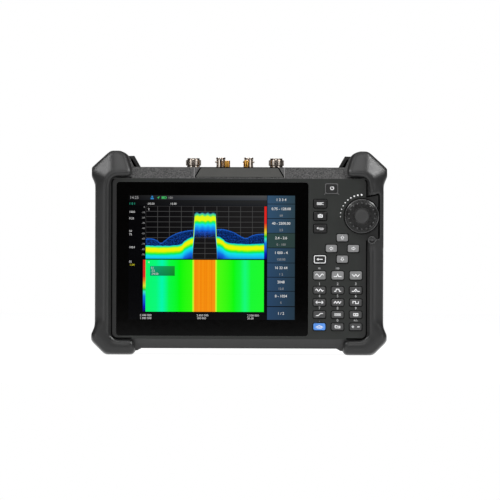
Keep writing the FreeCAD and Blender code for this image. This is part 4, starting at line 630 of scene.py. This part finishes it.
def spectrum_material(name):
    """The density plot: a noise floor, a flat topped signal and faint blue traces over a grid."""
    tree = Tree(name)
    x, z = tree.axis("X"), tree.axis("Z")
    along = tree.span(x, PLOT_LEFT, PLOT_RIGHT)
    height = PLOT_TOP - PLOT_BASE
    shake = tree.minus(tree.noise(0.9, 2), 0.5)
    ripple = tree.minus(tree.noise(3.2, 1), 0.5)
    grains = tree.noise(1.1, 4, 0.85)

    def level(points):
        """The height of a trace through points, given as parts of the plot's width and height."""
        return tree.line(tree.curve(along, points), height, PLOT_BASE)

    # Grid of ten by ten fields on black, a little lighter to the right.
    ground = tree.blend(along, rgb(3, 3, 4), rgb(30, 29, 29))
    from_x = tree.math("PINGPONG", tree.minus(x, PLOT_LEFT), (PLOT_RIGHT - PLOT_LEFT) / 20)
    from_z = tree.math("PINGPONG", tree.minus(z, PLOT_BASE), height / 20)
    grid = tree.blend(tree.span(tree.math("MINIMUM", from_x, from_z), 0.36, 0.1), ground, rgb(70, 70, 70))
    # Faint blue speckle up to an uneven upper edge.
    edge = level([(0, 0.377), (0.04, 0.388), (0.095, 0.353), (0.127, 0.305), (0.159, 0.345),
                  (0.202, 0.418), (0.256, 0.481), (0.31, 0.519), (0.39, 0.548), (0.606, 0.565),
                  (0.657, 0.565), (0.7, 0.541), (0.744, 0.509), (0.788, 0.452), (0.824, 0.411),
                  (0.853, 0.401), (0.882, 0.435), (0.926, 0.468), (0.977, 0.48), (1, 0.48)])
    under = tree.minus(tree.line(shake, 1.6, edge), z)
    haze = tree.blend(tree.span(grains, 0.46, 0.66), rgb(2, 8, 36), rgb(18, 84, 190))
    rim = tree.blend(tree.span(under, 1.6, 0.3), haze, rgb(26, 96, 205))
    picture = tree.blend(tree.span(under, 0, 0.35), grid, rim)
    # The noise floor, which rises beside the signal.
    floor_top = level([(0, 0.258), (0.262, 0.265), (0.3, 0.281), (0.328, 0.344), (0.361, 0.39),
                       (0.39, 0.418), (0.608, 0.428), (0.649, 0.39), (0.67, 0.344), (0.7, 0.312),
                       (0.74, 0.299), (1, 0.297)])
    depth = tree.minus(tree.line(ripple, 1.1, floor_top), z)
    bands = tree.ramp(tree.span(depth, 0, 24), [
        (0, 20, 90, 180), (0.03, 20, 205, 215), (0.07, 60, 240, 80),
        (0.12, 210, 246, 10), (0.16, 242, 240, 0), (0.25, 240, 240, 0),
        (0.3, 150, 245, 0), (0.35, 20, 236, 40), (0.39, 0, 232, 130),
        (0.45, 12, 226, 232), (0.56, 18, 190, 240), (0.7, 16, 110, 226),
        (0.88, 10, 60, 180), (1, 4, 16, 50)])
    picture = tree.blend(tree.span(depth, 0, 0.4), picture, bands)
    # The signal: bands that follow its flat top and its steep sides, empty below.
    lift = tree.minus(z, PLOT_BASE)
    left = tree.line(lift, LEAN_LEFT, SIGNAL_LEFT)
    right = tree.line(lift, LEAN_RIGHT, SIGNAL_RIGHT)
    inside = inside_of(tree, x, left, right)
    waves = tree.math("SINE", tree.times(x, 1.12))
    crown = tree.line(ripple, 1.6, tree.line(waves, 0.45, SIGNAL_TOP))
    fall = tree.minus(crown, z)
    # Down its sides the bands turn blue: the depth from a side starts deeper the further down it is.
    start = tree.times(tree.span(fall, 24, 44), 14)
    within = tree.math("MINIMUM", fall, tree.line(inside, 16, start))
    body = tree.ramp(tree.span(within, 0, 22), [
        (0, 6, 28, 76), (0.04, 40, 110, 130), (0.08, 80, 200, 170),
        (0.13, 80, 236, 90), (0.19, 226, 246, 20), (0.36, 232, 244, 10),
        (0.42, 60, 240, 30), (0.49, 0, 236, 140), (0.56, 20, 218, 240),
        (0.7, 20, 150, 240), (0.85, 16, 100, 220), (1, 14, 70, 170)])
    fading = tree.line(grains, 30, tree.minus(fall, 15))
    hollow = tree.blend(tree.span(fading, 17.5, 25), rgb(14, 80, 196), grid)
    deep = tree.times(tree.span(within, 16, 20), tree.span(fall, 16.5, 20.5))
    shown = tree.times(tree.span(inside, -0.15, 0.15), tree.span(fall, 0, 0.3))
    return glowing(tree, tree.blend(shown, picture, tree.blend(deep, body, hollow)))


def waterfall_material(name):
    """The record below the plot: green with an orange band at the signal, in faint columns and rows."""
    tree = Tree(name)
    x, z = tree.axis("X"), tree.axis("Z")

    def at(value):
        return (value - PLOT_LEFT) / (PLOT_RIGHT - PLOT_LEFT)

    def streaks(scale, detail, **way):
        """Noise that varies along one axis only."""
        line = tree.node("CombineXYZ", way).outputs[0]
        return tree.node("TexNoise", {"Vector": line, "Scale": scale, "Detail": detail}).outputs["Fac"]

    green = tree.ramp(tree.span(x, PLOT_LEFT, PLOT_RIGHT), [
        (0, 4, 252, 108), (at(-85), 2, 252, 124), (at(-79), 0, 250, 176),
        (at(-72), 4, 252, 70), (at(-61), 2, 252, 4), (at(-50), 48, 254, 8),
        (at(-20), 72, 254, 14), (at(-5.5), 8, 252, 8), (at(1), 14, 252, 60),
        (at(6), 20, 254, 124), (at(12), 22, 253, 50), (1, 28, 254, 44)])
    orange = tree.blend(tree.span(streaks(0.55, 2, X=x), 0.35, 0.65), rgb(243, 130, 2), rgb(253, 154, 14))
    inside = inside_of(tree, x, BAND_LEFT, BAND_RIGHT)
    band = tree.ramp(tree.span(inside, -1.9, 0.6), [
        (0, 70, 254, 12), (0.3, 176, 254, 40), (0.62, 200, 250, 44), (1, 250, 160, 10)])
    field = tree.blend(tree.span(inside, -1.9, -1.5), green, band)
    field = tree.blend(tree.span(inside, 0.2, 0.8), field, orange)
    rows = tree.blend(tree.span(streaks(1.4, 3, Z=z), 0.3, 0.7), grey(246), WHITE)
    return glowing(tree, tree.blend(1, field, rows, "MULTIPLY"))


def scale_material(name, base, top):
    """An upright colour scale, from dark blue at its base to red."""
    tree = Tree(name)
    z = tree.axis("Z")
    return glowing(tree, tree.ramp(tree.span(z, base, top), [
        (0, 8, 0, 90), (0.1, 10, 20, 180), (0.3, 20, 120, 220), (0.38, 60, 220, 200),
        (0.43, 20, 200, 30), (0.5, 220, 220, 50), (0.6, 230, 120, 30),
        (0.68, 222, 40, 34), (1, 214, 34, 30)]))


def shade_material(name, left, right, base, top, first, second):
    """For a box, the first colour at its left and the second at its right, a little darker to its base."""
    tree = Tree(name)
    x, z = tree.axis("X"), tree.axis("Z")
    across = tree.blend(tree.span(x, left, right), first, second)
    down = tree.blend(tree.span(z, top, base), WHITE, rgb(206, 214, 232))
    return glowing(tree, tree.blend(1, across, down, "MULTIPLY"))


def ink(name, colour):
    """Bright figures and lines of the display."""
    tree = Tree(name)
    return glowing(tree, shaded(tree, colour, 0.1, 0.6))


def lit(name, marks, material):
    marks.make(name, "display", material)


def panel(name, left, right, base, top, number, make, *values):
    """A plain box in one layer of the display's picture, in the material of make(name, *values)."""
    marks = layer(number)
    marks.box(left, right, base, top)
    lit(name, marks, make(name, *values))


def make_panels():
    panel("display_ground", *LCD, 1, shade_material, *LCD, rgb(1, 1, 2), rgb(6, 7, 8))
    panel("title_bar", LCD_LEFT, BAR_RIGHT, TITLE_BASE, LCD_TOP, 2,
          shade_material, LCD_LEFT, PLOT_RIGHT, TITLE_BASE, LCD_TOP, rgb(14, 14, 15), rgb(74, 75, 76))
    panel("info_bar", LCD_LEFT, BAR_RIGHT, PLOT_TOP + 0.4, INFO_TOP, 2,
          shade_material, LCD_LEFT, PLOT_RIGHT, PLOT_TOP, INFO_TOP, rgb(2, 2, 3), rgb(40, 41, 41))
    panel("spectrum", PLOT_LEFT, PLOT_RIGHT - 0.1, PLOT_BASE, PLOT_TOP, 2, spectrum_material)
    panel("waterfall", PLOT_LEFT, PLOT_RIGHT - 0.2, FALL_BASE, FALL_TOP, 2, waterfall_material)
    panel("density_scale", PLOT_RIGHT + 0.1, PLOT_RIGHT + 2.5, PLOT_BASE, PLOT_TOP, 3,
          scale_material, PLOT_BASE, PLOT_TOP)
    panel("waterfall_scale", PLOT_LEFT - 2.7, PLOT_LEFT, FALL_BASE, FALL_TOP, 3,
          scale_material, FALL_BASE, FALL_TOP)
    panel("readout_box", *READOUT, 3, shade_material, *READOUT, rgb(6, 160, 118), rgb(22, 150, 40))
    cells, chosen = layer(3), layer(3)
    for number, (top, base, *texts) in enumerate(MENU_FIELDS):
        field = chosen if number == CHOSEN_FIELD else cells
        field.box(MENU_LEFT, MENU_RIGHT, base, top)
    lit("menu_cells", cells, shade_material("menu_cells", *MENU, rgb(50, 80, 108), rgb(46, 66, 76)))
    lit("menu_chosen", chosen, shade_material("menu_chosen", *MENU, rgb(48, 74, 70), rgb(48, 66, 62)))


def make_figures():
    """Figures in the menu's fields and about the plots."""
    white, pale, teal = layer(4), layer(4), layer(4)
    middle = (MENU_LEFT + MENU_RIGHT) / 2
    for top, base, value, second in MENU_FIELDS:
        if second is None:
            white.digits(value, middle, (top + base) / 2, 2.6, "CENTER", 0.04)
        else:
            white.digits(value, middle, top - VALUE_DROP, 2.6, "CENTER", 0.06)
            pale.digits(second, middle, top - SECOND_DROP, 2.3, "CENTER")
    for row in range(10):
        height = PLOT_TOP - (row + 0.5) * (PLOT_TOP - PLOT_BASE) / 10 + 1.6
        pale.digits(str(-10 * row), PLOT_LEFT - 1, height, 1.7, "RIGHT")
    pale.digits("100", -73, 161.1, 2.2)
    pale.digits("14:25", -112.4, 161.2, 2.9)
    for x, column in FIGURES.items():
        for z, text in column.items():
            white.digits(text, x, z, 2.1)
    teal.digits("1 0 1", -113, 154.9, 2.2, bold=0.03)
    lit("display_figures", white, ink("display_white", grey(214)))
    lit("display_small_figures", pale, ink("display_pale", grey(158)))
    lit("display_teal_figures", teal, ink("display_teal", rgb(40, 160, 130)))


def make_icons():
    """Small signs in the title bar, and one yellow figure beside the waterfall."""
    network, battery, yellow = layer(4), layer(4), layer(4)
    network.disc(-89.4, 162, 0.9)
    network.box(-91, -87.8, 159.4, 160.9)
    lit("network_icon", network, ink("display_blue", rgb(44, 128, 190)))
    battery.polygon([(-84.6, 161), (-81.6, 162.6), (-83, 159.6), (-83.4, 160.8)])
    battery.frame(-79.8, -75, 159.8, 162.4, 0.45)
    battery.box(-75, -74.4, 160.6, 161.6)
    battery.box(-79.2, -76.6, 160.4, 161.8)
    lit("battery_icon", battery, ink("display_green", rgb(64, 176, 96)))
    yellow.digits("1.04", -112.4, 92.2, 2.1, bold=0.02)
    lit("display_yellow_figures", yellow, ink("display_yellow", rgb(196, 190, 40)))


make_panels()
make_figures()
make_icons()


# Turned shapes.

def lathe(profile, sides, centre, axis):
    """Points and faces of a profile (radius, height) turned about axis "x", "y" or "z" through centre."""
    points, faces, rings = [], [], []
    for radius, height in profile:
        corners = sides if radius else 1
        rings.append(range(len(points), len(points) + corners))
        for i in range(corners):
            turn = math.tau * i / sides
            point = [centre[0] + radius * math.cos(turn), centre[1] + radius * math.sin(turn)]
            point.insert("xyz".index(axis), height)
            points.append(point)
    for first, second in zip(rings, rings[1:]):
        for i in range(sides):
            j = (i + 1) % sides
            corners = [first[i % len(first)], first[j % len(first)],
                       second[j % len(second)], second[i % len(second)]]
            faces.append(tuple(dict.fromkeys(corners)))
    return points, faces


def joined(parts):
    """Several (points, faces) as one."""
    points, faces = [], []
    for more_points, more_faces in parts:
        start = len(points)
        points += more_points
        faces += [tuple(start + i for i in face) for face in more_faces]
    return points, faces


def turned(name, parts, material, body="case"):
    """A piece made of turned parts."""
    made = piece(name, mesh_of(name, *joined(parts)), material, body)
    edit_mesh(made.data, sharpen)
    return made


# Rubber bumpers. Their places are given for the right one, and the left one mirrors them.

WELD = 0.004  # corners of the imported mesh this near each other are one
# Point and normal of the two planes that bevel the upper end.
ARM_CUTS = [((123.6, 0, 209.3), (-0.39, 0, 0.92)), ((116.3, -31.8, 198), (-0.657, -0.526, 0.54))]
BACKING_SIZE, BACKING_PLACE = (7, 5, 12), (140, -31.75, 174.5)
VOXEL = 1.1
PASSES, POCKET_PASSES = 36, 4  # of smoothing: everywhere, and about the pocket beside the wheel
POCKET_LEFT, POCKET_BASE, POCKET_TOP = 130, 110, 168
TOP_ZONE, BASE_ZONE = (174, 186), (24, 16)  # heights at which a growth starts and is full
MIDWAY = 100


def part_of(value, start, end):
    """0 at start, 1 at end, clamped."""
    return min(1, max(0, (value - start) / (end - start)))


def cut_bumper(edit, side):
    """Bevel the upper end, and fill the thin place where the case's corner comes near the surface."""
    bmesh.ops.remove_doubles(edit, verts=edit.verts[:], dist=WELD * MM)
    for (x, y, z), (across, back, up) in ARM_CUTS:
        cut = bmesh.ops.bisect_plane(edit, geom=edit.verts[:] + edit.edges[:] + edit.faces[:],
                                     plane_co=(side * x * MM, y * MM, z * MM),
                                     plane_no=(side * across, back, up), clear_outer=True)
        edges = [item for item in cut["geom_cut"] if isinstance(item, bmesh.types.BMEdge)]
        bmesh.ops.holes_fill(edit, edges=edges)
    backing = bmesh.ops.create_cube(edit, size=MM)["verts"]
    bmesh.ops.scale(edit, vec=BACKING_SIZE, verts=backing)
    x, y, z = BACKING_PLACE
    bmesh.ops.translate(edit, vec=(side * x * MM, y * MM, z * MM), verts=backing)


def round_bumper(edit, side, box, top_growth, base_growth):
    """Round every edge, and put back what that takes off the outline at the top and at the base."""
    soft = [v for v in edit.verts if side < 0 or v.co.x < POCKET_LEFT * MM
            or not POCKET_BASE * MM < v.co.z < POCKET_TOP * MM]
    for step in range(PASSES):
        bmesh.ops.smooth_vert(edit, verts=edit.verts[:] if step < POCKET_PASSES else soft, factor=0.5,
                              use_axis_x=True, use_axis_y=True, use_axis_z=True)
    edit.normal_update()
    low, high = box
    for v in edit.verts:
        z = v.co.z / MM
        growth = (top_growth * part_of(z, *TOP_ZONE) + base_growth * part_of(z, *BASE_ZONE)) * MM
        sideways = max(0, side * v.normal.x)
        upwards = max(0, v.normal.z) if z > MIDWAY else min(0, v.normal.z)
        v.co.x = min(high.x, max(low.x, v.co.x + growth * side * sideways))
        v.co.z = min(high.z, max(low.z, v.co.z + growth * upwards / 3))


def soft_bumper(name, side, top_growth, base_growth):
    """A bumper as moulded rubber, made from the CAD solid and kept inside its box.

    side is -1 for the left one and 1 for the right one, whose wheel pocket keeps crisper edges.
    """
    copy = add_object(f"{name}_cut", nodes[name].data.copy())
    edit_mesh(copy.data, cut_bumper, side)
    grid = copy.modifiers.new("grid", "REMESH")
    grid.mode = "VOXEL"
    grid.voxel_size = VOXEL * MM
    mesh = evaluated(copy)
    bpy.data.objects.remove(copy)
    edit_mesh(mesh, round_bumper, side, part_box(name), top_growth, base_growth)
    set_smooth(mesh)
    mesh.name = f"{name}_soft"
    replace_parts(piece(f"{name}_soft", mesh, rubber), name)


soft_bumper("left_bumper", -1, top_growth=1.9, base_growth=1.4)
soft_bumper("right_bumper", 1, top_growth=1.5, base_growth=1.3)


# Jog wheel, its button and its dots. A profile is a list of (radius, y).

WHEEL = (125.5, 142.7)  # x and z of the middle
NUB_COUNT, NUB_CIRCLE = 18, 13.4
DOT_COUNT, DOT_CIRCLE, DOT_START, DOT_STEP = 10, 21.9, 181, -10.03
WELL_FLOOR = -32.85


def around_wheel(radius, degrees):
    turn = math.radians(degrees)
    return WHEEL[0] + radius * math.cos(turn), WHEEL[1] + radius * math.sin(turn)


def make_wheel():
    """The ring, its raised grip nubs, and the edge of its rim; the lighter plastic of the nubs and the
    edge is painted highlight.
    """
    bore = 7.5
    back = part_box("jog_wheel")[1].y / MM
    track = [(bore, back), (bore, -38.35), (7.62, -38.52), (7.85, -38.6), (9.5, -38.52), (11.5, -38.5),
             (13.8, -38.52), (14.7, -38.6), (15.45, -38), (15.6, -37.75)]
    rim = [(16.4, -37.85), (17.25, -37.2)] + arc_points(17, -36.8, 0.5, -60, 0, 3)
    hub = [(17.5, -35), (17.3, -34.8), (9.5, -34.8), (9.5, back), (bore, back)]
    wheel = turned("jog_wheel_turned", [lathe(track + rim + hub, 144, WHEEL, "y")],
                   wheel_plastic, "wheel")
    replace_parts(wheel, "jog_wheel")
    nub = [(0, -38.3), (0.78, -38.3), (0.76, -38.6), (0.62, -38.8), (0.36, -38.92), (0, -38.96)]
    turns = [360 / NUB_COUNT * (step + 0.5) for step in range(NUB_COUNT)]
    nubs = [lathe(nub, 16, around_wheel(NUB_CIRCLE, turn), "y") for turn in turns]
    piece("wheel_nubs", mesh_of("wheel_nubs", *joined(nubs)), glint_plastic, "wheel")
    # The rim's edge, in the lighter plastic of its painted highlight.
    edge = [(17, -37.42), (17.3, -37.26), (17.5, -37), (17.54, -36.7), (17.3, -36.6), (16.9, -36.9),
            (17, -37.42)]
    turned("wheel_rim_glint", [lathe(edge, 144, WHEEL, "y")], glint_plastic, "wheel")


def make_button():
    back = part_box("enter_button")[1].y / MM
    crown = [(0, -38.86), (2, -38.84), (4, -38.76), (5.6, -38.62), (6.6, -38.46)]
    edge = arc_points(6.78, -37.85, 0.55, -80, 0, 5)
    stem = [(7.33, -35.2), (2.5, -35.2), (2.5, back), (0, back)]
    button = turned("enter_button_turned", [lathe(crown + edge + stem, 96, WHEEL, "y")],
                    button_plastic, "enter")
    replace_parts(button, "enter_button")


def make_well():
    """Painted shade in the well about the wheel, its chamfered edge, and the dots that grow around it."""
    shade = Marks(WELL_FLOOR)
    shade.arc(*WHEEL, 18, 1.6, steps=96)
    shade.make("wheel_well_shade", "seal_rubber", painted_gap_shade)
    chamfer = [(18.2, -33.3), (18.95, -34.06), (19.2, -34.06), (19.2, -33.3), (18.2, -33.3)]
    turned("wheel_well_chamfer", [lathe(chamfer, 120, WHEEL, "y")], case_plastic)
    dots = Marks(FRONT - 0.02)
    for step in range(DOT_COUNT):
        dots.disc(*around_wheel(DOT_CIRCLE, DOT_START + DOT_STEP * step), 0.42 + 0.06 * step)
    dots.make("wheel_dots", "plate", white_print)


make_wheel()
make_button()
make_well()


# Connectors. A profile is a list of (radius, z).

SEAT = 184.7  # top of the tray floor, on which every connector stands
TAIL = 174.7
RIDGE_STEPS = 6


def thread(radius, depth, base, top, pitch):
    """The profile of rounded thread ridges."""
    turns = [step / RIDGE_STEPS for step in range(int((top - base) / pitch) * RIDGE_STEPS + 1)]
    return [(radius - depth * (0.5 + 0.5 * math.cos(math.tau * turn)), base + pitch * turn)
            for turn in turns]


LARGE = [(0, TAIL), (4.4, TAIL), (4.8, TAIL + 0.5), (4.8, SEAT), (9.1, SEAT), (9.2, SEAT + 0.2),
         (9.2, SEAT + 1.9), (8.8, SEAT + 2.4), (6.7, SEAT + 2.4), (6.5, 187.6), (6.5, 192.4), (6.9, 192.7),
         (6.9, 193.7), (6.5, 193.9), (6.5, 194.4), (7.3, 194.6)]
LARGE += thread(7.9, 0.035, 195, 199.7, 0.9)
LARGE += [(7.9, 199.9), (7.5, 200.4), (6.5, 200.6), (6.4, 200.9), (6.4, 202), (6.1, 202.3), (4.5, 202.3),
          (4.15, 202), (4.1, 193.3), (0, 193.3)]
BAYONET = [(0, TAIL), (3.7, TAIL), (4, TAIL + 0.4), (4, SEAT), (6.9, SEAT), (7, SEAT + 0.2),
           (7, SEAT + 2.6), (6.6, SEAT + 3), (4.9, SEAT + 3), (4.55, 188.1), (4.55, 192.9), (4.75, 193.1),
           (4.75, 194), (4.5, 194.2), (4.5, 200.9), (4.8, 201.1), (4.85, 201.4), (4.85, 202.7),
           (4.6, 203.1), (4.25, 203.1), (4.05, 202.9), (4.05, 194.1), (0, 194.1)]
SMALL = [(0, TAIL), (2.4, TAIL), (2.6, TAIL + 0.3), (2.6, SEAT), (4.1, SEAT), (4.2, SEAT + 0.2),
         (4.2, SEAT + 2.2), (3.9, SEAT + 2.5), (2.95, SEAT + 2.5)]
SMALL += thread(3.15, 0.03, 187.4, 198.9, 0.7)
SMALL += [(3.1, 199), (3.1, 199.4), (2.9, 199.7), (2.5, 199.7), (2.3, 199.5), (2.3, 197.5), (0, 197.5)]
LUG_HEIGHT = 198.5


def lug(x, y, side):
    """One of the two pins that stand out sideways from a bayonet connector."""
    profile = [(0, 4.3), (1, 4.3), (1, 5.6), (0.7, 5.9), (0, 5.9)]
    return lathe([(radius, x + side * reach) for radius, reach in profile], 20, (y, LUG_HEIGHT), "x")


def make_connector(port, x, y, profile, material):
    name = f"{port}_connector"
    parts = [lathe(profile, 72, (x, y), "z")]
    if profile is BAYONET:
        parts += [lug(x, y, -1), lug(x, y, 1)]
    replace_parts(turned(f"{name}_turned", parts, material), name)


make_connector("rf_input", -47.6, 13, LARGE, nickel)
make_connector("rf_output", 37.9, 13, LARGE, nickel)
make_connector("left_bayonet", -19.4, 13, BAYONET, nickel)
make_connector("right_bayonet", 9.4, 13, BAYONET, nickel)
make_connector("left_small", -12.9, 1.9, SMALL, gold)
make_connector("right_small", 7.1, 1.9, SMALL, gold)


# Signs on the keys.

PRINT = 0.015  # how far a sign stands in front of its key
SIGN_SCALE = 1.12
KEY_PITCH_X, KEY_PITCH_Z = 18.6, 12.5


def wave(width, height, turns, steps=36):
    return [(width * (i / steps - 0.5), height / 2 * math.sin(math.tau * turns * i / steps))
            for i in range(steps + 1)]


def bars(*places):
    """Level lines, each as (left, right, z)."""
    return [[(left, z), (right, z)] for left, right, z in places]


# What each key shows instead of a word: strokes about its centre, in millimetres.
SIGNS = {
    "one": [wave(7, 2, 2)],
    "two": [[(-3.2, -1), (-1.7, -1), (-1.1, 1), (1.1, 1), (1.7, -1), (3.2, -1)]],
    "three": [[(-3.6, -1), (-1.6, -1), (0, 1.1), (1.6, -1), (3.6, -1)], [(-0.6, -1), (0.6, -1)]],
    "four": [[(-3.4, 0), (-2.3, 0.9), (-2.3, -0.9), (-3.4, 0)], [(-2.3, 0), (2.3, 0)],
             [(3.4, 0), (2.3, 0.9), (2.3, -0.9), (3.4, 0)]],
    "five": [[(-3.4, -0.9), (-2.1, 0.9), (-0.8, -0.9), (0.5, 0.9), (1.8, -0.9), (3.1, 0.9)]],
    "six": [[(-2.6, -1), (-2.6, 1), (-0.2, 1), (-0.2, -1), (2.4, -1), (2.4, 1)]],
    "seven": [[(-3.2, -1), (-1, -1), (1, 1), (3.2, 1)]],
    "eight": bars((-3, 3, 0.9), (-3, 3, 0), (-3, 3, -0.9)),
    "nine": [[(-2, -1), (-2, 1), (2, 1), (2, -1), (-2, -1)], [(-0.7, 0), (0.7, 0)]],
    "blue_shift": [[(-3.4, -0.5), (0, 1), (3.4, -0.5)], [(-2.2, -1.1), (2.2, -1.1)]],
    "zero": [[(-2.2, -1), (-2.2, 1), (-0.6, 1), (0, 0.5), (2.2, 0.5), (2.2, -1), (-2.2, -1)]],
    "sign": [[(-3.6, 0), (-1.4, 0)], [(-2.5, -1.1), (-2.5, 1.1)], [(1.4, 0), (3.6, 0)]],
    "grey_left": [wave(7.4, 2.4, 1.5)],
    "grey_middle": [[(-3.6, -1.1), (-0.9, -1.1), (0, 1.3), (0.9, -1.1), (3.6, -1.1)]],
    "grey_right": [[(-3.4, 1), (-1.6, -1), (0, 1), (1.6, -1), (3.4, 1)]],
    "menu_upper": bars((-3.2, 3.2, 0.9), (-3.2, 1.6, 0), (-3.2, 3.2, -0.9)),
    "menu_lower": [[(-1.6, 1.2), (-3, 0.3), (-1.6, -0.6)],
                   [(-2.8, 0.3), (2.2, 0.3), (3, -0.4), (2.2, -1.1), (-0.6, -1.1)]],
    "escape": [[(-1.4, 0.9), (-2.6, 0), (-1.4, -0.9)], [(-2.4, 0), (2.6, 0)]],
}
FINE_SIGNS = ("menu_upper", "menu_lower", "eight")
ARROWS = {"arrow_up": (0, 1), "arrow_down": (0, -1), "arrow_left": (-1, 0), "arrow_right": (1, 0)}
ARROW_SIZE = 1.9
ARROW_SHAPE = [(0, 1), (0.85, 0.12), (0.4, 0.12), (0.4, -0.8), (-0.4, -0.8), (-0.4, 0.12), (-0.85, 0.12)]


def marks_on(node):
    """The middle of a node's front, x and z, and marks that lie on it."""
    low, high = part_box(node)
    return (low.x + high.x) / 2 / MM, (low.z + high.z) / 2 / MM, Marks(low.y / MM - PRINT)


def print_on_key(name, marks, sign=None):
    node = f"key_{name}"
    marks.make(sign or f"sign_{node}", key_finish(node)[1], white_print, nodes[node]["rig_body"])


def rounded_box(x, z, width, height, corner):
    """The outline of a box about x, z."""
    points = []
    for number, (a, b) in enumerate(((1, 1), (-1, 1), (-1, -1), (1, -1))):
        points += arc_points(x + a * (width / 2 - corner), z + b * (height / 2 - corner), corner,
                             90 * number, 90 * number + 90, 4)
    return points


def make_key_signs():
    for name, strokes in SIGNS.items():
        x, z, marks = marks_on(f"key_{name}")
        line = 0.5 if name in FINE_SIGNS else 0.8
        for path in strokes:
            marks.stroke([(x + SIGN_SCALE * a, z + SIGN_SCALE * b) for a, b in path], line)
        print_on_key(name, marks)
    for name, (way_x, way_z) in ARROWS.items():
        x, z, marks = marks_on(f"key_{name}")
        marks.stroke([(x + ARROW_SIZE * (a * way_z + b * way_x), z + ARROW_SIZE * (b * way_z - a * way_x))
                      for a, b in ARROW_SHAPE], 0.45, closed=True)
        print_on_key(name, marks)
    x, z, marks = marks_on("key_power")
    marks.arc(x + 0.5, z + 0.4, 1.65, 0.75, 120, 420)
    marks.box(x + 0.2, x + 0.8, z + 0.7, z + 2.5)
    print_on_key("power", marks)
    x, z, marks = marks_on("key_menu_middle")
    marks.frame(x - 2.5, x + 2.5, z - 1.6, z + 1.5, 0.85)
    marks.box(x - 1, x + 1, z + 1.4, z + 2.1)
    marks.arc(x, z, 0.8, 0.6)
    print_on_key("menu_middle", marks)
    x, z, marks = marks_on("key_escape")
    marks.stroke(rounded_box(x, z, 11.4, 7.4, 1.2), 0.75, closed=True)
    print_on_key("escape", marks, "escape_outline")


def make_case_print():
    """The lower lip of the power key's frame, and the figures beside the keys."""
    x, z, lip = marks_on("power_bezel")
    lip.stroke([(x - 7.6, z - 6.1), (x - 6.4, z - 5.1), (x + 6.4, z - 5.1), (x + 7.6, z - 6.1)], 0.7)
    lip.make("power_frame_lip", "bezel", bezel_paint)
    figures = Marks(FRONT - 0.04)
    for row, texts in enumerate(((".", "0", "+/-"), "789", "456", "123")):
        for column, text in enumerate(texts):
            x, z = 82.4 + KEY_PITCH_X * column, 35.9 + KEY_PITCH_Z * row
            figures.digits(text, x, z, 2.6, "CENTER", 0.07)
    figures.digits("10", 81.9, 89.2, 1.9, "CENTER", 0.05)
    figures.digits("100", 100.7, 89.2, 1.9, "CENTER", 0.05)
    figures.make("key_figures", "plate", grey_print)


# Painted shade in the gaps on the front.

GAP_INSET = 1  # how much smaller the gap about a key is than the flange hidden under it
BEVEL_START = 180.9  # height at which the front turns into the 45 degree top bevel
GAP_INNER, GAP_TOP, GAP_BASE, GAP_CORNER = 130.7, 181.6, 16.9, 5.8  # the gap between the case and a bumper


def lay_on_front(name, marks, material):
    """Marks that follow the front of the case, and its top bevel where they reach it."""
    marks.points = [(x, FRONT - 0.03 + max(0, z - BEVEL_START), z) for x, y, z in marks.points]
    marks.make(name, "seal_rubber", material)


def make_front_gaps():
    """Painted shade in the gaps beside the bumpers and about the nameplate, and painted highlights on the
    steps at the nameplate's ends.
    """
    turn = GAP_INNER - GAP_CORNER
    upper = [(110.2, GAP_TOP), (116, GAP_TOP)]
    upper += arc_points(turn, GAP_TOP - GAP_CORNER, GAP_CORNER, 90, 0, 8)
    lower = [(GAP_INNER, 30)] + arc_points(turn, GAP_BASE + GAP_CORNER, GAP_CORNER, 0, -90, 8)
    lower += [(110, GAP_BASE)]
    pocket = [(GAP_INNER, 162.6), (143.1, 165.3), (143.1, 119)]
    # Each stroke is a strip of painted shade along the gap between the case and a bumper.
    for name, side, path in (("left_gap_shade", -1, upper + lower), ("right_gap_shade_upper", 1, upper + pocket),
                             ("right_gap_shade_lower", 1, [(GAP_INNER, 118)] + lower)):
        marks = Marks(FRONT)
        marks.stroke([(side * x, z) for x, z in path], 1.5)
        lay_on_front(name, marks, painted_gap_shade)
    # Painted shade in the groove about the nameplate.
    plate = Marks(FRONT)
    plate.stroke([(-45.8, 182), (-40, 192.1), (40, 192.1), (45.8, 182)], 1.3)
    lay_on_front("nameplate_gap_shade", plate, painted_gap_shade)
    # Painted highlights: light strips where the raised nameplate's edges catch the light.
    steps = Marks(FRONT)
    for x in (-46.4, 46.1):
        steps.box(x - 0.5, x + 0.5, 181.6, 192.4)
    lay_on_front("bevel_step_highlights", steps, step_highlight)


def make_eyelet():
    profile = [(0, -35.2), (1.5, -35.4), (2.4, -36.2), (2.9, -37.4), (3.1, -38.4), (3.35, -38.75),
               (3.65, -38.7), (3.85, -38.3), (3.9, -37.6), (3.9, -34.2), (0, -34.2)]
    # A rubber eyelet in the pocket, its light grey a painted highlight.
    turned("pocket_eyelet", [lathe(profile, 64, (135.9, 118.2), "y")], eyelet_glint_rubber)


def make_key_gaps():
    for node in keys:
        if node == "key_power":
            continue
        low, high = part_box(node)
        x, z, marks = marks_on(node)
        marks.y = FRONT - 0.025
        width, height = (high.x - low.x) / MM - GAP_INSET, (high.z - low.z) / MM - GAP_INSET
        # A ring of painted shade in the gap about each key, set a little low.
        marks.stroke(rounded_box(x, z - 0.1, width, height, 1.5), 0.6, closed=True)
        marks.make(f"gap_{node}", "seal_rubber", painted_gap_shade)


make_key_signs()
make_case_print()
make_front_gaps()
make_eyelet()
make_key_gaps()
